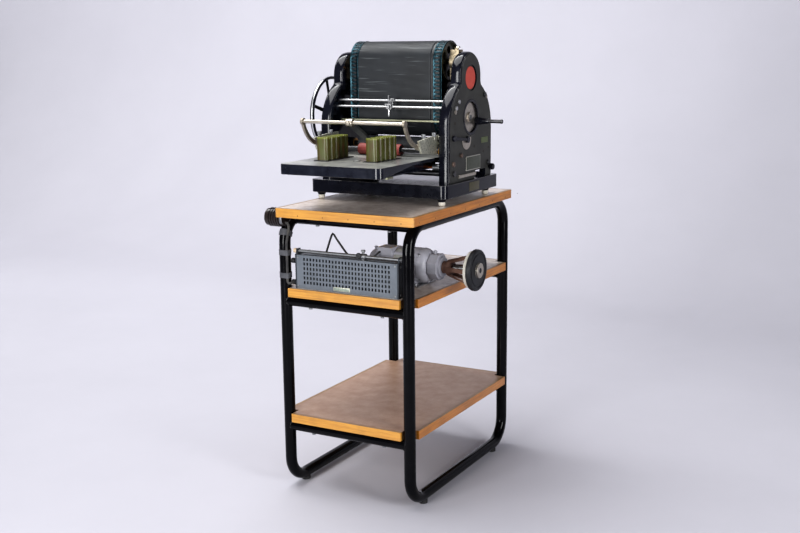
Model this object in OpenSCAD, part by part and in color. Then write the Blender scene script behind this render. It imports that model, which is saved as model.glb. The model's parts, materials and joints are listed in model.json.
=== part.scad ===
// Rotary duplicator on its tubular stand, with drive motor and slide resistor.
// Millimetres, +Z up, X along the drum axis, Y from the feed side to the delivery side.
// The origin is the middle of the bounding box's bottom face.

/* [Stand] */
// Height of the table top above the floor
stand_h = 720; // [690:1:760]
// Distance between the middles of the two tube loops
loop_gap = 340; // [320:1:360]
// Distance between the middles of the front and rear legs
leg_gap = 530; // [500:1:560]
// Diameter of the loop tube
tube_d = 28; // [24:1:30]
// Diameter of the cross tubes
cross_d = 25; // [18:1:26]
// Wall of the loop tube and of the cross tubes
tube_wall = 2; // [1.5:0.5:3]
// Bend radius of the loops, to the middle of the tube
bend_r = 60; // [50:1:80]
// How far down the bend the top cross tubes are welded
top_cross_angle = 20; // [15:1:30]
// Height of the floor pads under the loops
pad_h = 6; // [3:1:12]
// Diameter of a floor pad
pad_d = 22; // [16:1:26]
// Distance of a floor pad's middle from the leg's middle
pad_inset = 65; // [62:1:120]

/* [Table and shelves] */
// Width of the table
table_w = 370; // [350:1:400]
// Depth of the table
table_d = 544; // [520:1:580]
// How far the table's middle lies right of the stand's middle
table_right = 32; // [20:1:36]
// How far the table's middle lies in front of the stand's middle
table_forward = 56; // [40:1:64]
// Thickness of the boards
board_t = 22; // [18:1:26]
// Width of the wooden edging strips
edging_w = 8; // [5:1:12]
// Thickness of the linoleum
lino_t = 2.5; // [1.5:0.5:4]
// Chamfer on the table's corners
table_chamfer = 4; // [1:1:8]
// Height from the middle shelf's surface to the table top
mid_space = 202; // [190:1:240]
// Height from the lower shelf's surface to the middle shelf's surface
low_space = 318; // [280:1:340]
// How far the shelf edging stands out past the legs
shelf_overhang = 3; // [1:0.5:6]
// Gap between a leg and the strips beside it
leg_gap_side = 2; // [1:0.5:5]
// Open joint between two edging strips at a table corner
strip_joint = 0.3; // [0.3:0.1:0.6]
// Diameter of a shelf screw's shank
screw_d = 5; // [4:0.5:6]
// Diameter of a shelf screw's head
screw_head_d = 9; // [8:0.5:12]
// How deep a shelf screw bites into its board
screw_bite = 12; // [8:1:16]

/* [Motor] */
// Distance of the motor axis in front of the stand's middle
motor_forward = 92; // [80:1:110]
// Height of the motor axis above the middle shelf
motor_rise = 46.5; // [46.5:0.5:50]
// Left end of the motor's cast body, from the stand's middle
motor_x = -8; // [-20:1:0]
// Length of the motor's cast body
motor_len = 150; // [140:1:154]
// Diameter of the motor's cast body
motor_d = 86; // [76:1:86]
// Length of the faceted front cap
cap_len = 31; // [20:1:34]
// Width across the flats of the faceted front cap
cap_flats = 62; // [50:1:66]
// Diameter of the rotor shaft
rotor_d = 12; // [10:1:14]
// Length of the brown bearing nose
nose_len = 14; // [8:1:18]
// Length of the conical spider
spider_len = 66; // [50:1:68]
// Number of arms on the spider
spider_arms = 6; // [4:1:8]
// Diameter of the drive pulley
pulley_d = 100; // [90:1:110]
// Thickness of the drive pulley's disc
pulley_t = 13; // [8:1:14]
// How much smaller the pale friction ring is than the pulley, in radius
ring_step = 5; // [2:1:8]
// Radius of the pulley's hub
pulley_hub_r = 18; // [12:1:24]

/* [Slide resistor] */
// Length of the resistor housing
res_len = 285; // [260:1:290]
// Depth of the resistor housing
res_depth = 62; // [58:1:72]
// Height of the resistor housing
res_h = 82; // [78:1:86]
// Middle of the resistor housing, from the stand's middle
res_x = 4.5; // [0:0.5:8]
// Distance of the housing's face behind the shelf's front edge
res_setback = 12; // [8:1:20]
// Thickness of the housing's sheet
sheet_t = 1.5; // [1:0.25:2]
// Number of slot columns in the perforated front
slot_cols = 27; // [10:1:27]
// Number of slot rows in the perforated front
slot_rows = 6; // [3:1:6]
// Width of a slot
slot_w = 4.2; // [2:0.2:5]
// Height of a slot
slot_h = 6.8; // [3:0.2:7]
// Diameter of the ceramic core with its winding
core_d = 48; // [40:1:52]
// Bore of the ceramic core
core_bore = 26; // [16:1:32]
// Diameter of the slider's guide rod
slide_rod_d = 8; // [6:0.5:9]
// Place of the slider along its rod, from the housing's middle
slider_x = 42; // [-90:1:90]

/* [Leads] */
// Diameter of the flex between inlet and resistor
flex_d = 6.4; // [5:0.2:7]
// Diameter of the stiff lead between resistor and motor
lead_d = 5; // [4:0.2:6]
// Width of the tape bands on the leg
tape_w = 13; // [8:1:18]
// Thickness of the tape bands
tape_t = 1; // [0.6:0.1:1.5]

/* [Duplicator base] */
// How far the machine's middle lies right of the stand's middle
mach_right = 24; // [18:1:30]
// Width of the base
base_w = 375; // [372:1:380]
// Depth of the base
base_d = 297; // [280:1:310]
// Height of the base
base_h = 32; // [30:1:46]
// Radius of the base's corners
base_corner_r = 14; // [8:1:20]
// Thickness of the base's cast walls
base_wall = 5; // [4:0.5:7]
// Height of the feet
foot_h = 18; // [14:1:24]
// Height of the pale rubber tip of a foot
foot_tip_h = 8; // [5:1:10]

/* [Side frames] */
// Clear width between the side frames
frame_clear = 300; // [298:1:306]
// Thickness of a side frame
frame_t = 28; // [24:1:32]
// Depth of a side frame
frame_d = 234; // [226:1:250]
// Height of the arch's middle above the base
arch_rise = 117; // [110:1:125]
// Height of the dome's middle above the arch's middle
dome_rise = 124; // [120:1:128]
// Radius of the dome
dome_r = 54; // [52:1:57]
// Radius of the fillet between arch and dome
neck_r = 16; // [10:1:22]
// Thickness of a side frame's outer wall
frame_web = 7; // [5:1:10]
// Thickness of a side frame's rim
frame_rim = 9; // [6:1:12]
// Step of the rounded edge round a side frame's outer face
edge_step = 2; // [1:0.5:3]

/* [Drums and rollers] */
// Height of the main shaft above the base
main_rise = 142; // [140:1:144]
// Distance between the two drum axes
drum_gap = 132.5; // [130:0.5:136]
// Radius of the screen drums
drum_r = 48; // [46:0.5:49]
// Length of the screen drums
drum_len = 256; // [240:1:262]
// How far the drums' middle lies left of the machine's middle
drum_left = 4; // [0:1:6]
// Wall of the screen drums
drum_wall = 2.5; // [2:0.5:4]
// Diameter of the main shaft
main_d = 20; // [16:1:22]
// Diameter of the upper drum's shaft and of the roller shafts
small_shaft_d = 12; // [10:1:14]
// Thickness of the woven screen
screen_t = 1.2; // [0.8:0.1:2]
// Thickness of the steel edge bands
band_t = 0.8; // [0.6:0.1:1.2]
// Width of a steel edge band
band_w = 24; // [18:1:28]
// Pitch of the band's perforations
band_pitch = 9; // [8:0.5:12]
// Module of the gears between main shaft and impression roller
gear_module = 1.5; // [1.5:0.25:1.5]
// Teeth of the gear on the main shaft
main_teeth = 67; // [67:1:67]
// Teeth of the gear on the impression roller
impression_teeth = 29; // [29:1:29]
// Width of the gears
gear_w = 8; // [6:1:10]
// Gap between the impression roller and the edge bands
nip_gap = 0.9; // [0.5:0.1:1.5]
// Diameter of the red feed roller
feed_roller_d = 27.6; // [24:0.2:28]
// Length of the red feed roller
feed_roller_len = 116; // [80:1:140]

/* [Crank and flywheel] */
// Outer diameter of the flywheel
flywheel_d = 192; // [150:1:200]
// Width of the flywheel's rim
flywheel_w = 10; // [8:1:22]
// Thickness of the flywheel's rim
flywheel_rim = 6; // [4:0.5:9]
// Number of flywheel spokes
flywheel_spokes = 6; // [4:1:6]
// Gap between the left side frame and the flywheel's rim
flywheel_out = 36.5; // [30:0.5:46]
// Radius of the crank disc
crank_disc_r = 43; // [40:0.5:45]
// Radius of the bright hub plate
hub_plate_r = 36; // [30:0.5:38]
// Distance of the crank handle from the main shaft
crank_throw = 37; // [34:0.5:38]
// Angle of the crank handle below the level, towards the delivery side
crank_angle = 18; // [0:1:40]
// Length of the crank handle's black socket
crank_socket_len = 31; // [24:1:36]
// Length of the crank handle's bright grip
crank_grip_len = 36; // [28:1:42]

/* [Feed table] */
// Height of the feed table above the base
feed_rise = 52; // [50:1:52]
// Width of the feed table
feed_w = 269; // [250:1:272]
// Distance of the feed table's front edge from the machine's middle
feed_front = 369; // [340:1:390]
// Height of the feed table's front skirt
feed_skirt = 24; // [20:1:26]
// Height of the skirt at the rear
feed_skirt_rear = 7; // [5:1:14]
// Thickness of the feed table's sheet
feed_t = 3; // [2:0.5:4]
// Radius of the feed table's front corners
feed_corner_r = 14; // [8:1:24]
// Diameter of the table shafts
table_shaft_d = 8; // [6:1:9]

/* [Feed bail] */
// Distance of the bail's rod in front of the machine's middle
bail_front = 259; // [250:1:265]
// Height of the bail's rod above the base
bail_rise = 141; // [138:1:146]
// Diameter of the bail's rod
bail_rod_d = 9; // [7:0.5:11]
// Distance of the bail's pivot in front of the machine's middle
pivot_front = 196; // [192:1:200]
// Height of the bail's pivot above the base
pivot_rise = 84; // [82:1:88]
// Diameter of the bail's pivot pins
pivot_d = 6; // [5:0.5:7]

/* [Side guides] */
// Width of a side guide
guide_w = 30; // [24:1:34]
// Depth of a side guide
guide_d = 106; // [90:1:116]
// Height of a side guide
guide_h = 53; // [44:1:56]
// Number of ribs along a side guide
guide_ribs = 5; // [3:1:7]
// Distance of the left guide's middle left of the machine's middle
left_guide_x = 73; // [60:1:85]
// Distance of the right guide's middle right of the machine's middle
right_guide_x = 50; // [45:1:70]
// Distance of the left guide's middle in front of the machine's middle
left_guide_front = 230; // [225:1:235]
// How much further back the right guide stands
right_guide_back = 16; // [0:1:20]

/* [Fits] */
// Radial clearance of a shaft in its bush
run_fit = 0.05; // [0.02:0.01:0.1]
// Gap between pieces that pass or rest lightly
rest_gap = 0.3; // [0.3:0.05:0.5]

/* [Hidden] */
$fn = 64;
eps = 0.01;
big = 2000;

// Stand
loop_x = loop_gap / 2;
leg_y = leg_gap / 2;
tube_r = tube_d / 2;
cross_r = cross_d / 2;
mid_shelf_z = stand_h - mid_space;
low_shelf_z = mid_shelf_z - low_space;
rail_top_z = stand_h - board_t - tube_r;
rail_low_z = pad_h + tube_r;
pad_y = leg_y - pad_inset;
pad_top = rail_low_z;
shelf_half_x = loop_x + tube_r + shelf_overhang;
shelf_half_y = leg_y + tube_r + shelf_overhang;
notch_x = loop_x - tube_r - leg_gap_side;
notch_y = leg_y - tube_r - leg_gap_side;
top_cross_y = leg_y - bend_r + bend_r * sin(top_cross_angle);
top_cross_z = rail_top_z - bend_r + bend_r * cos(top_cross_angle);
mid_cross_z = mid_shelf_z - board_t - cross_r;
low_cross_z = low_shelf_z - board_t - cross_r;
screw_x = 100;
screw_head_h = 3;

// Motor
motor_y = -motor_forward;
motor_z = mid_shelf_z + motor_rise;
motor_r = motor_d / 2;
motor_end = motor_x + motor_len;
cap_end = motor_end + cap_len;
nose_end = cap_end + nose_len;
spider_end = nose_end + spider_len;
pulley_end = spider_end + pulley_t;
pulley_r = pulley_d / 2;
pulley_hub_out = 5;
rotor_r = rotor_d / 2;
shell_round_r = 20;
lug_r = 6;
lug_circle = motor_r - 3;
spider_nose_r = 15;
collar_r = 20;
collar_w = 6;
arm_half_w = 5;
basket_wall = 4;
basket_r = pulley_r - ring_step - 4;
bed_t = 3;
bed_x0 = motor_x + 8;
bed_x1 = motor_end - 14;
bed_half_y = 46;
bed_hole_r = 4;
box_x = motor_x + 20;
box_w = 40;
box_d = 34;
box_h = 20;
box_y = motor_y - 42;
box_z = motor_z + 24;

// Slide resistor
res_left = res_x - res_len / 2;
res_right = res_x + res_len / 2;
res_front = -shelf_half_y + res_setback;
res_back = res_front + res_depth;
res_mid_y = (res_front + res_back) / 2;
res_top = mid_shelf_z + res_h;
end_plate_t = 4;
core_z = mid_shelf_z + res_h / 2 - 3;
slide_rod_z = res_top + 8;
slide_rod_y = res_front + 12;
slide_slot = 10;
slide_end = 18;
core_pin_r = 5;
slot_pitch_x = 9;
slot_pitch_z = 11.4;
terminal_y = res_front + 7;
terminal_r = 3;
terminal_knob_r = 6.5;
terminal_knob_len = 9;
terminal_places = [mid_shelf_z + 13, mid_shelf_z + res_h - 16];

// Duplicator, measured from the machine's middle on the table top
base_low = foot_h;
base_top = foot_h + base_h;
head_z = foot_h + 40; // level that the head is measured from
base_y = -8;
foot_x = base_w / 2 - 20;
foot_y = [-137, 103];
frame_in = frame_clear / 2;
frame_out = frame_in + frame_t;
arch_r = frame_d / 2;
arch_z = head_z + arch_rise;
dome_z = arch_z + dome_rise;
main_z = head_z + main_rise;
main_r = main_d / 2;
upper_z = main_z + drum_gap;
small_r = small_shaft_d / 2;
drum_x0 = -drum_left - drum_len / 2;
drum_x1 = -drum_left + drum_len / 2;
screen_r = drum_r + rest_gap;
band_r = screen_r + screen_t;
band_out_r = band_r + band_t;
pitch_main = gear_module * main_teeth / 2;
pitch_impression = gear_module * impression_teeth / 2;
impression_z = main_z - pitch_main - pitch_impression;
impression_r = main_z - band_out_r - nip_gap - impression_z;
gear_x0 = drum_x1 + 6;
ink_r = drum_gap / 2 - drum_r - rest_gap;
ink_z = main_z + drum_gap / 2;
feed_top = head_z + feed_rise;
feed_x0 = 1.5 - feed_w / 2;
feed_x1 = 1.5 + feed_w / 2;
feed_rear = -30;
feed_roller_r = feed_roller_d / 2;
feed_roller_y = -106;
feed_roller_z = feed_top + feed_roller_r + 1;
feed_roller_x = -14;
bush_r = small_r + 4;
main_bush_r = main_r + 5;
bush_len = 14;
bush_flange_t = 2;
recess_depth = 8;
recess_r = crank_disc_r + 0.5;
recess_floor = 4;
disc_floor = 1.5;
disc_x0 = frame_out - recess_depth + 0.5;
main_end = frame_out - 2;
crank_socket_r = 9;
socket_x0 = frame_out + 0.8;
socket_end = socket_x0 + crank_socket_len;
grip_pin_r = 2.2;
grip_cap = 2;
cap_r = 27;
cap_recess_r = 31;
cap_recess = 4;
cap_z = dome_z - 5;
guide_rod_r = 2.8;
rod_places = [[-69, main_z + 40], [-83, main_z + 25.5]];
roller_places = [[0, impression_z], [feed_roller_y, feed_roller_z], [0, ink_z]];
guide_bar = [-62, main_z - 8];
tie_r = 7;
tie_places = [[75, main_z + 51], [96, head_z + 24], [-96, head_z + 14]];
table_shaft_places = [[-103, feed_top - 23], [-62, feed_top - 23]];
table_shaft_r = table_shaft_d / 2;
rail_x = 100;
rail_t = 3;
rail_low = feed_top - feed_t - 25;
bail_y = -bail_front;
bail_z = head_z + bail_rise;
bail_r = bail_rod_d / 2;
pivot_y = -pivot_front;
pivot_z = head_z + pivot_rise;
pivot_r = pivot_d / 2;
arm_x = 133.5;
arm_t = 6;
cheek_x = arm_x + arm_t + rest_gap;
cheek_t = 5;
foot_plate_t = 1.5;
guide_low = feed_top + rest_gap + foot_plate_t;
lever_pivot = [-26, main_z - 52];
lever_len = 73;
lever_pin_r = 3;
knob_place = [104, head_z + 13];
face_gap = 1;
plate_t = 1;

// Inlet, and the routes of the two leads, measured from the stand's middle on the middle shelf
inlet_len = 52;
inlet_r = 23;
inlet_x0 = -loop_x - tube_r - 32;
inlet_y = -leg_y + 3;
inlet_z = rail_top_z + 3;
tape_places = [mid_shelf_z + 79, mid_shelf_z + 23];
flex_on_leg = [-157, -277];
flex_points = [
    [-164, -268, 158], [-158, -269, 157], [-153, -271, 151], [-153, -272, 140], [-155, -275, 126],
    [-157, -277, 110], [-157, -277, 94], [-157, -277, 78], [-157, -277, 62], [-157, -277, 46],
    [-157, -277, 33], [-157, -277.5, 22], [-155, -279.5, 15], [-151, -280.5, 12],
    [-148, -278, 12], [-146.5, -274, 13], [-146.5, -269.4, 13]
];
lead_points = [
    [-99, -208, 48], [-98.5, -203, 49], [-98, -200, 54], [-97, -199, 64], [-93, -199, 82],
    [-88, -198, 97], [-82, -198, 113], [-78, -198, 123], [-75, -198, 127], [-71, -198, 124],
    [-64, -198, 114], [-55, -198, 103], [-45, -198, 91], [-35, -198, 80], [-24, -196, 69],
    [-13, -190, 60], [-3, -180, 56], [5, -168, 58], [12, -157, 64], [17, -148, 73],
    [20, -141, 78], [20, -134, 79]
];

// Origin of the part: the middle of the bounding box's bottom face
part_x0 = inlet_x0;
part_x1 = pulley_end + pulley_hub_out;
part_y0 = -feed_front;
part_y1 = shelf_half_y;
origin_shift = [-(part_x0 + part_x1) / 2, -(part_y0 + part_y1) / 2, 0];

// Places

module placed() {
    translate(origin_shift) children();
}

module on_table() {
    translate(origin_shift + [mach_right, 0, stand_h]) children();
}

// Round solids along X, from x0 to x1

module rod_x(r, x0, x1, y = 0, z = 0) {
    translate([x0, y, z]) rotate([0, 90, 0]) cylinder(r = r, h = x1 - x0);
}

module ring_x(r_out, r_in, x0, x1, y = 0, z = 0) {
    translate([x0, y, z]) rotate([0, 90, 0]) difference() {
        cylinder(r = r_out, h = x1 - x0);
        translate([0, 0, -1]) cylinder(r = r_in, h = x1 - x0 + 2);
    }
}

// A turned solid about X whose profile is drawn as [along, radius]
module turned_x(x0 = 0, y = 0, z = 0) {
    translate([x0, y, z]) rotate([0, 90, 0]) rotate_extrude() children();
}

// A plate in the YZ plane from x0 to x1, drawn as [y, z]
module plate_x(x0, x1) {
    translate([x0, 0, 0]) rotate([90, 0, 90]) linear_extrude(x1 - x0) children();
}

module rounded_square(w, d, r) {
    square([w - 2 * r, d], center = true);
    square([w, d - 2 * r], center = true);
    for (sx = [-1, 1], sy = [-1, 1])
        translate([sx * (w / 2 - r), sy * (d / 2 - r)]) circle(r);
}

module mirrored_x() {
    children();
    mirror([1, 0, 0]) children();
}

// Stand

// The two legs and two rails of a loop, each longer by reach at both ends
module loop_straights(x, r, reach = 0) {
    half_y = leg_y - bend_r + reach;
    low_z = rail_low_z + bend_r - reach;
    high_z = rail_top_z - bend_r + reach;
    for (z = [rail_low_z, rail_top_z])
        translate([x, -half_y, z]) rotate([-90, 0, 0]) cylinder(r = r, h = 2 * half_y);
    for (y = [-leg_y, leg_y])
        translate([x, y, low_z]) cylinder(r = r, h = high_z - low_z);
}

// The four bends of a loop, with the tube's section as the child
module loop_corners(x) {
    for (sy = [-1, 1], up = [0, 1])
        translate([x, sy * (leg_y - bend_r), up == 1 ? rail_top_z - bend_r : rail_low_z + bend_r])
            rotate([90, 0, 90])
            rotate([0, 0, sy > 0 ? (up == 1 ? 0 : -90) : (up == 1 ? 90 : 180)])
            rotate_extrude(angle = 90) translate([bend_r, 0]) children();
}

// A whole loop with no bore, which cuts the pieces that meet it
module loop_tube(x) {
    loop_straights(x, tube_r);
    loop_corners(x) circle(tube_r);
}

module loop_tubes() {
    placed() color("#15161a") for (x = [-loop_x, loop_x]) difference() {
        loop_straights(x, tube_r);
        loop_straights(x, tube_r - tube_wall, 1);
    }
}

module loop_bends() {
    placed() color("#15161a") for (x = [-loop_x, loop_x]) loop_corners(x) difference() {
        circle(tube_r);
        circle(tube_r - tube_wall);
    }
}

module cross_tube_at(y, z) {
    difference() {
        rod_x(cross_r, -loop_x, loop_x, y, z);
        rod_x(cross_r - tube_wall, -loop_x - 1, loop_x + 1, y, z);
        for (x = [-screw_x, screw_x])
            translate([x, y, z - cross_r - 1]) cylinder(r = screw_d / 2, h = cross_d + 2);
    }
}

module cross_tubes() {
    placed() color("#15161a") difference() {
        union() {
            for (s = [-1, 1]) {
                cross_tube_at(s * leg_y, mid_cross_z);
                cross_tube_at(s * leg_y, low_cross_z);
                cross_tube_at(s * top_cross_y, top_cross_z);
            }
        }
        loop_tube(-loop_x);
        loop_tube(loop_x);
    }
}

module floor_pads() {
    placed() color("#1a1a1c") difference() {
        for (x = [-loop_x, loop_x], y = [-pad_y, pad_y])
            translate([x, y, 0]) cylinder(r = pad_d / 2, h = pad_top - tube_r / 2);
        loop_tube(-loop_x);
        loop_tube(loop_x);
    }
}

module table_outline(inset) {
    w = table_w - 2 * inset;
    d = table_d - 2 * inset;
    c = max(table_chamfer - inset, 0.1);
    translate([table_right, -table_forward]) polygon([
        [-w / 2 + c, -d / 2], [w / 2 - c, -d / 2], [w / 2, -d / 2 + c], [w / 2, d / 2 - c],
        [w / 2 - c, d / 2], [-w / 2 + c, d / 2], [-w / 2, d / 2 - c], [-w / 2, -d / 2 + c]
    ]);
}

module screw_holes(y, board_low) {
    for (x = [-screw_x, screw_x], s = [-1, 1])
        translate([x, s * y, board_low - 1]) cylinder(r = screw_d / 2, h = screw_bite + 1);
}

// A shelf fills the cross between its four legs
module shelf_outline(inset) {
    square([2 * (shelf_half_x - inset), 2 * notch_y], center = true);
    square([2 * notch_x, 2 * (shelf_half_y - inset)], center = true);
}

module boards() {
    placed() color("#a9825a") {
        difference() {
            translate([0, 0, stand_h - board_t]) linear_extrude(board_t - lino_t) table_outline(edging_w);
            screw_holes(top_cross_y, stand_h - board_t);
        }
        for (z = [mid_shelf_z, low_shelf_z]) difference() {
            translate([0, 0, z - board_t]) linear_extrude(board_t - lino_t) shelf_outline(edging_w);
            screw_holes(leg_y, z - board_t);
        }
    }
}

module edging_strips() {
    placed() color("#d0913f") {
        translate([0, 0, stand_h - board_t]) linear_extrude(board_t) difference() {
            table_outline(0);
            table_outline(edging_w);
            for (s = [-1, 1])
                translate([table_right, s * (table_d / 2 - edging_w - strip_joint / 2) - table_forward])
                    square([table_w + 1, strip_joint], center = true);
        }
        for (z = [mid_shelf_z, low_shelf_z])
            translate([0, 0, z - board_t]) linear_extrude(board_t) for (s = [-1, 1]) {
                translate([s * (shelf_half_x - edging_w / 2), 0])
                    square([edging_w, 2 * notch_y], center = true);
                translate([0, s * (shelf_half_y - edging_w / 2)])
                    square([2 * notch_x, edging_w], center = true);
            }
    }
}

module linoleum_sheets() {
    placed() color("#6e6058") {
        translate([0, 0, stand_h - lino_t]) linear_extrude(lino_t) table_outline(edging_w);
        for (z = [mid_shelf_z, low_shelf_z])
            translate([0, 0, z - lino_t]) linear_extrude(lino_t) shelf_outline(edging_w);
    }
}

module shelf_screw(x, y, tube_z, board_low) {
    translate([x, y, 0]) {
        translate([0, 0, tube_z - cross_r - screw_head_h]) cylinder(r = screw_head_d / 2, h = screw_head_h);
        translate([0, 0, tube_z - cross_r - eps])
            cylinder(r = screw_d / 2, h = board_low + screw_bite - tube_z + cross_r + eps);
    }
}

module shelf_screws() {
    placed() color("#8d8f92") difference() {
        for (x = [-screw_x, screw_x], s = [-1, 1]) {
            shelf_screw(x, s * leg_y, mid_cross_z, mid_shelf_z - board_t);
            shelf_screw(x, s * leg_y, low_cross_z, low_shelf_z - board_t);
            shelf_screw(x, s * top_cross_y, top_cross_z, stand_h - board_t);
        }
        for (s = [-1, 1]) {
            seat_flat(s * leg_y, mid_cross_z);
            seat_flat(s * leg_y, low_cross_z);
            seat_flat(s * top_cross_y, top_cross_z);
        }
    }
}

// The hollow that a round tube leaves in the head of a screw under it
module seat_flat(y, z) {
    difference() {
        rod_x(cross_r, -loop_x, loop_x, y, z);
        for (x = [-screw_x, screw_x])
            translate([x, y, z - big / 2]) cylinder(r = screw_d / 2, h = big);
    }
}

// Motor

module motor_bedplate() {
    placed() color("#c9cacb") difference() {
        translate([bed_x0, motor_y - bed_half_y, mid_shelf_z])
            cube([bed_x1 - bed_x0, 2 * bed_half_y, bed_t]);
        for (x = [bed_x0 + 12, bed_x1 - 12], s = [-1, 1])
            translate([x, motor_y + s * (bed_half_y - 6), mid_shelf_z - 1])
                cylinder(r = bed_hole_r, h = bed_t + 2);
    }
}

// Profile of the cast shell, with round shoulders at both ends
module motor_shell_profile() {
    square([motor_r - shell_round_r, motor_len]);
    translate([0, shell_round_r]) square([motor_r, motor_len - 2 * shell_round_r]);
    for (z = [shell_round_r, motor_len - shell_round_r])
        translate([motor_r - shell_round_r, z]) circle(shell_round_r);
}

// Lugs of the through bolts, along the shell
module motor_lugs() {
    for (a = [45, 135, 225, 315])
        rod_x(lug_r, motor_x + 30, motor_end - 22, motor_y + lug_circle * cos(a),
            motor_z + lug_circle * sin(a));
}

module motor_body() {
    foot_w = 26;
    foot_l = 76;
    foot_top = 22;
    placed() color("#6b6f72") difference() {
        union() {
            turned_x(motor_x, motor_y, motor_z) motor_shell_profile();
            for (x = [bed_x0 + 18, bed_x1 - 18 - foot_w])
                translate([x, motor_y - foot_l / 2, mid_shelf_z + bed_t]) cube([foot_w, foot_l, foot_top]);
            motor_lugs();
        }
        rod_x(rotor_r + run_fit, motor_x - 1, motor_end + 1, motor_y, motor_z);
    }
}

// Faceted front cap with its round nose, and the domed rear cap
module motor_caps() {
    nose_step = 6;
    rear_len = 16;
    rear_r = 30;
    rear_round = 8;
    placed() color("#74787b") {
        difference() {
            union() {
                translate([motor_end, motor_y, motor_z]) rotate([0, 90, 0]) rotate([0, 0, 22.5])
                    cylinder(r = cap_flats / 2 / cos(22.5), h = cap_len - nose_step, $fn = 8);
                rod_x(cap_flats / 2 - nose_step, motor_end, cap_end, motor_y, motor_z);
            }
            rod_x(rotor_r + run_fit, motor_end - 1, cap_end + 1, motor_y, motor_z);
        }
        turned_x(motor_x - rear_len, motor_y, motor_z) {
            square([rear_r - rear_round, rear_len]);
            translate([0, rear_round]) square([rear_r, rear_len - rear_round]);
            translate([rear_r - rear_round, rear_round]) circle(rear_round);
        }
    }
}

module motor_terminal_box() {
    placed() color("#2a2c2f") difference() {
        translate([box_x, box_y, box_z]) cube([box_w, box_d, box_h]);
        rod_x(motor_r, box_x - 1, box_x + box_w + 1, motor_y, motor_z);
        motor_lugs();
    }
}

module motor_shaft() {
    placed() color("#b8babd") rod_x(rotor_r, motor_x + 4, pulley_end + pulley_hub_out - 2, motor_y, motor_z);
}

// A conical basket of flat arms between the nose's collar and the pulley
module drive_spider() {
    placed() color("#7a5c50") difference() {
        union() {
            rod_x(spider_nose_r, cap_end + face_gap, nose_end, motor_y, motor_z);
            turned_x(nose_end, motor_y, motor_z)
                polygon([[0, 0], [collar_r, 0], [collar_r, collar_w],
                    [spider_nose_r, collar_w + 6], [0, collar_w + 6]]);
            intersection() {
                basket_cone();
                for (i = [0 : spider_arms - 1])
                    translate([nose_end, motor_y, motor_z]) rotate([360 / spider_arms * (i + 0.5), 0, 0])
                        translate([0, -arm_half_w, 0]) cube([spider_len, 2 * arm_half_w, pulley_r]);
            }
            ring_x(basket_r, basket_r - basket_wall - 2, spider_end - 5, spider_end, motor_y, motor_z);
        }
        rod_x(rotor_r, cap_end - 1, spider_end + 1, motor_y, motor_z);
    }
}

// The cone that the arms follow
module basket_cone() {
    turned_x(nose_end, motor_y, motor_z)
        polygon([[collar_r - basket_wall, 0], [collar_r, 0], [basket_r, spider_len],
            [basket_r - basket_wall, spider_len]]);
}

module drive_pulley() {
    rim_round = 4;
    face_groove = 1.5;
    placed() color("#1b1c1f") difference() {
        union() {
            turned_x(spider_end, motor_y, motor_z) {
                square([pulley_r - rim_round, pulley_t]);
                translate([0, rim_round]) square([pulley_r, pulley_t - 2 * rim_round]);
                for (z = [rim_round, pulley_t - rim_round])
                    translate([pulley_r - rim_round, z]) circle(rim_round);
            }
            rod_x(pulley_hub_r, pulley_end, pulley_end + pulley_hub_out, motor_y, motor_z);
        }
        rod_x(rotor_r, spider_end - 1, pulley_end + pulley_hub_out + 1, motor_y, motor_z);
        ring_x(pulley_r - 8, pulley_r - 12, pulley_end - face_groove, pulley_end + 1, motor_y, motor_z);
    }
}

module pulley_ring() {
    ring_w = 8;
    placed() color("#c8c5bd")
        ring_x(pulley_r - ring_step, basket_r + eps, spider_end - ring_w, spider_end, motor_y, motor_z);
}

// Slide resistor

module resistor_housing() {
    placed() color("#6f7c86") difference() {
        translate([res_left + end_plate_t, res_front + sheet_t, mid_shelf_z])
            cube([res_len - 2 * end_plate_t, res_depth - sheet_t, res_h]);
        translate([res_left, res_front, mid_shelf_z + sheet_t])
            cube([res_len, res_depth - sheet_t, res_h - 2 * sheet_t]);
        translate([res_left + slide_end, slide_rod_y - slide_slot / 2, res_top - sheet_t - 1])
            cube([res_len - 2 * slide_end, slide_slot, sheet_t + 2]);
    }
}

module resistor_grille() {
    span_x = (slot_cols - 1) * slot_pitch_x;
    span_z = (slot_rows - 1) * slot_pitch_z;
    placed() color("#6f7c86") difference() {
        translate([res_left + end_plate_t, res_front, mid_shelf_z])
            cube([res_len - 2 * end_plate_t, sheet_t, res_h]);
        for (i = [0 : slot_cols - 1], j = [0 : slot_rows - 1])
            translate([res_x - span_x / 2 + i * slot_pitch_x - slot_w / 2, res_front - 1,
                mid_shelf_z + res_h / 2 + 3 - span_z / 2 + j * slot_pitch_z - slot_h / 2])
                cube([slot_w, sheet_t + 2, slot_h]);
    }
}

// End plates, with an ear each for the guide rod
module resistor_end_plates() {
    lip = 2;
    ear = 14;
    placed() color("#2c2f33") difference() {
        for (x = [res_left, res_right - end_plate_t]) {
            translate([x, res_front, mid_shelf_z]) cube([end_plate_t, res_depth, res_h + lip]);
            translate([x, slide_rod_y - ear / 2, res_top]) cube([end_plate_t, ear, ear]);
        }
        rod_x(slide_rod_d / 2, res_left - 1, res_right + 1, slide_rod_y, slide_rod_z);
        rod_x(core_pin_r, res_left - 1, res_right + 1, res_mid_y, core_z);
        for (z = terminal_places)
            rod_x(terminal_r, res_left - 1, res_left + end_plate_t + 1, terminal_y, z);
    }
}

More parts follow.
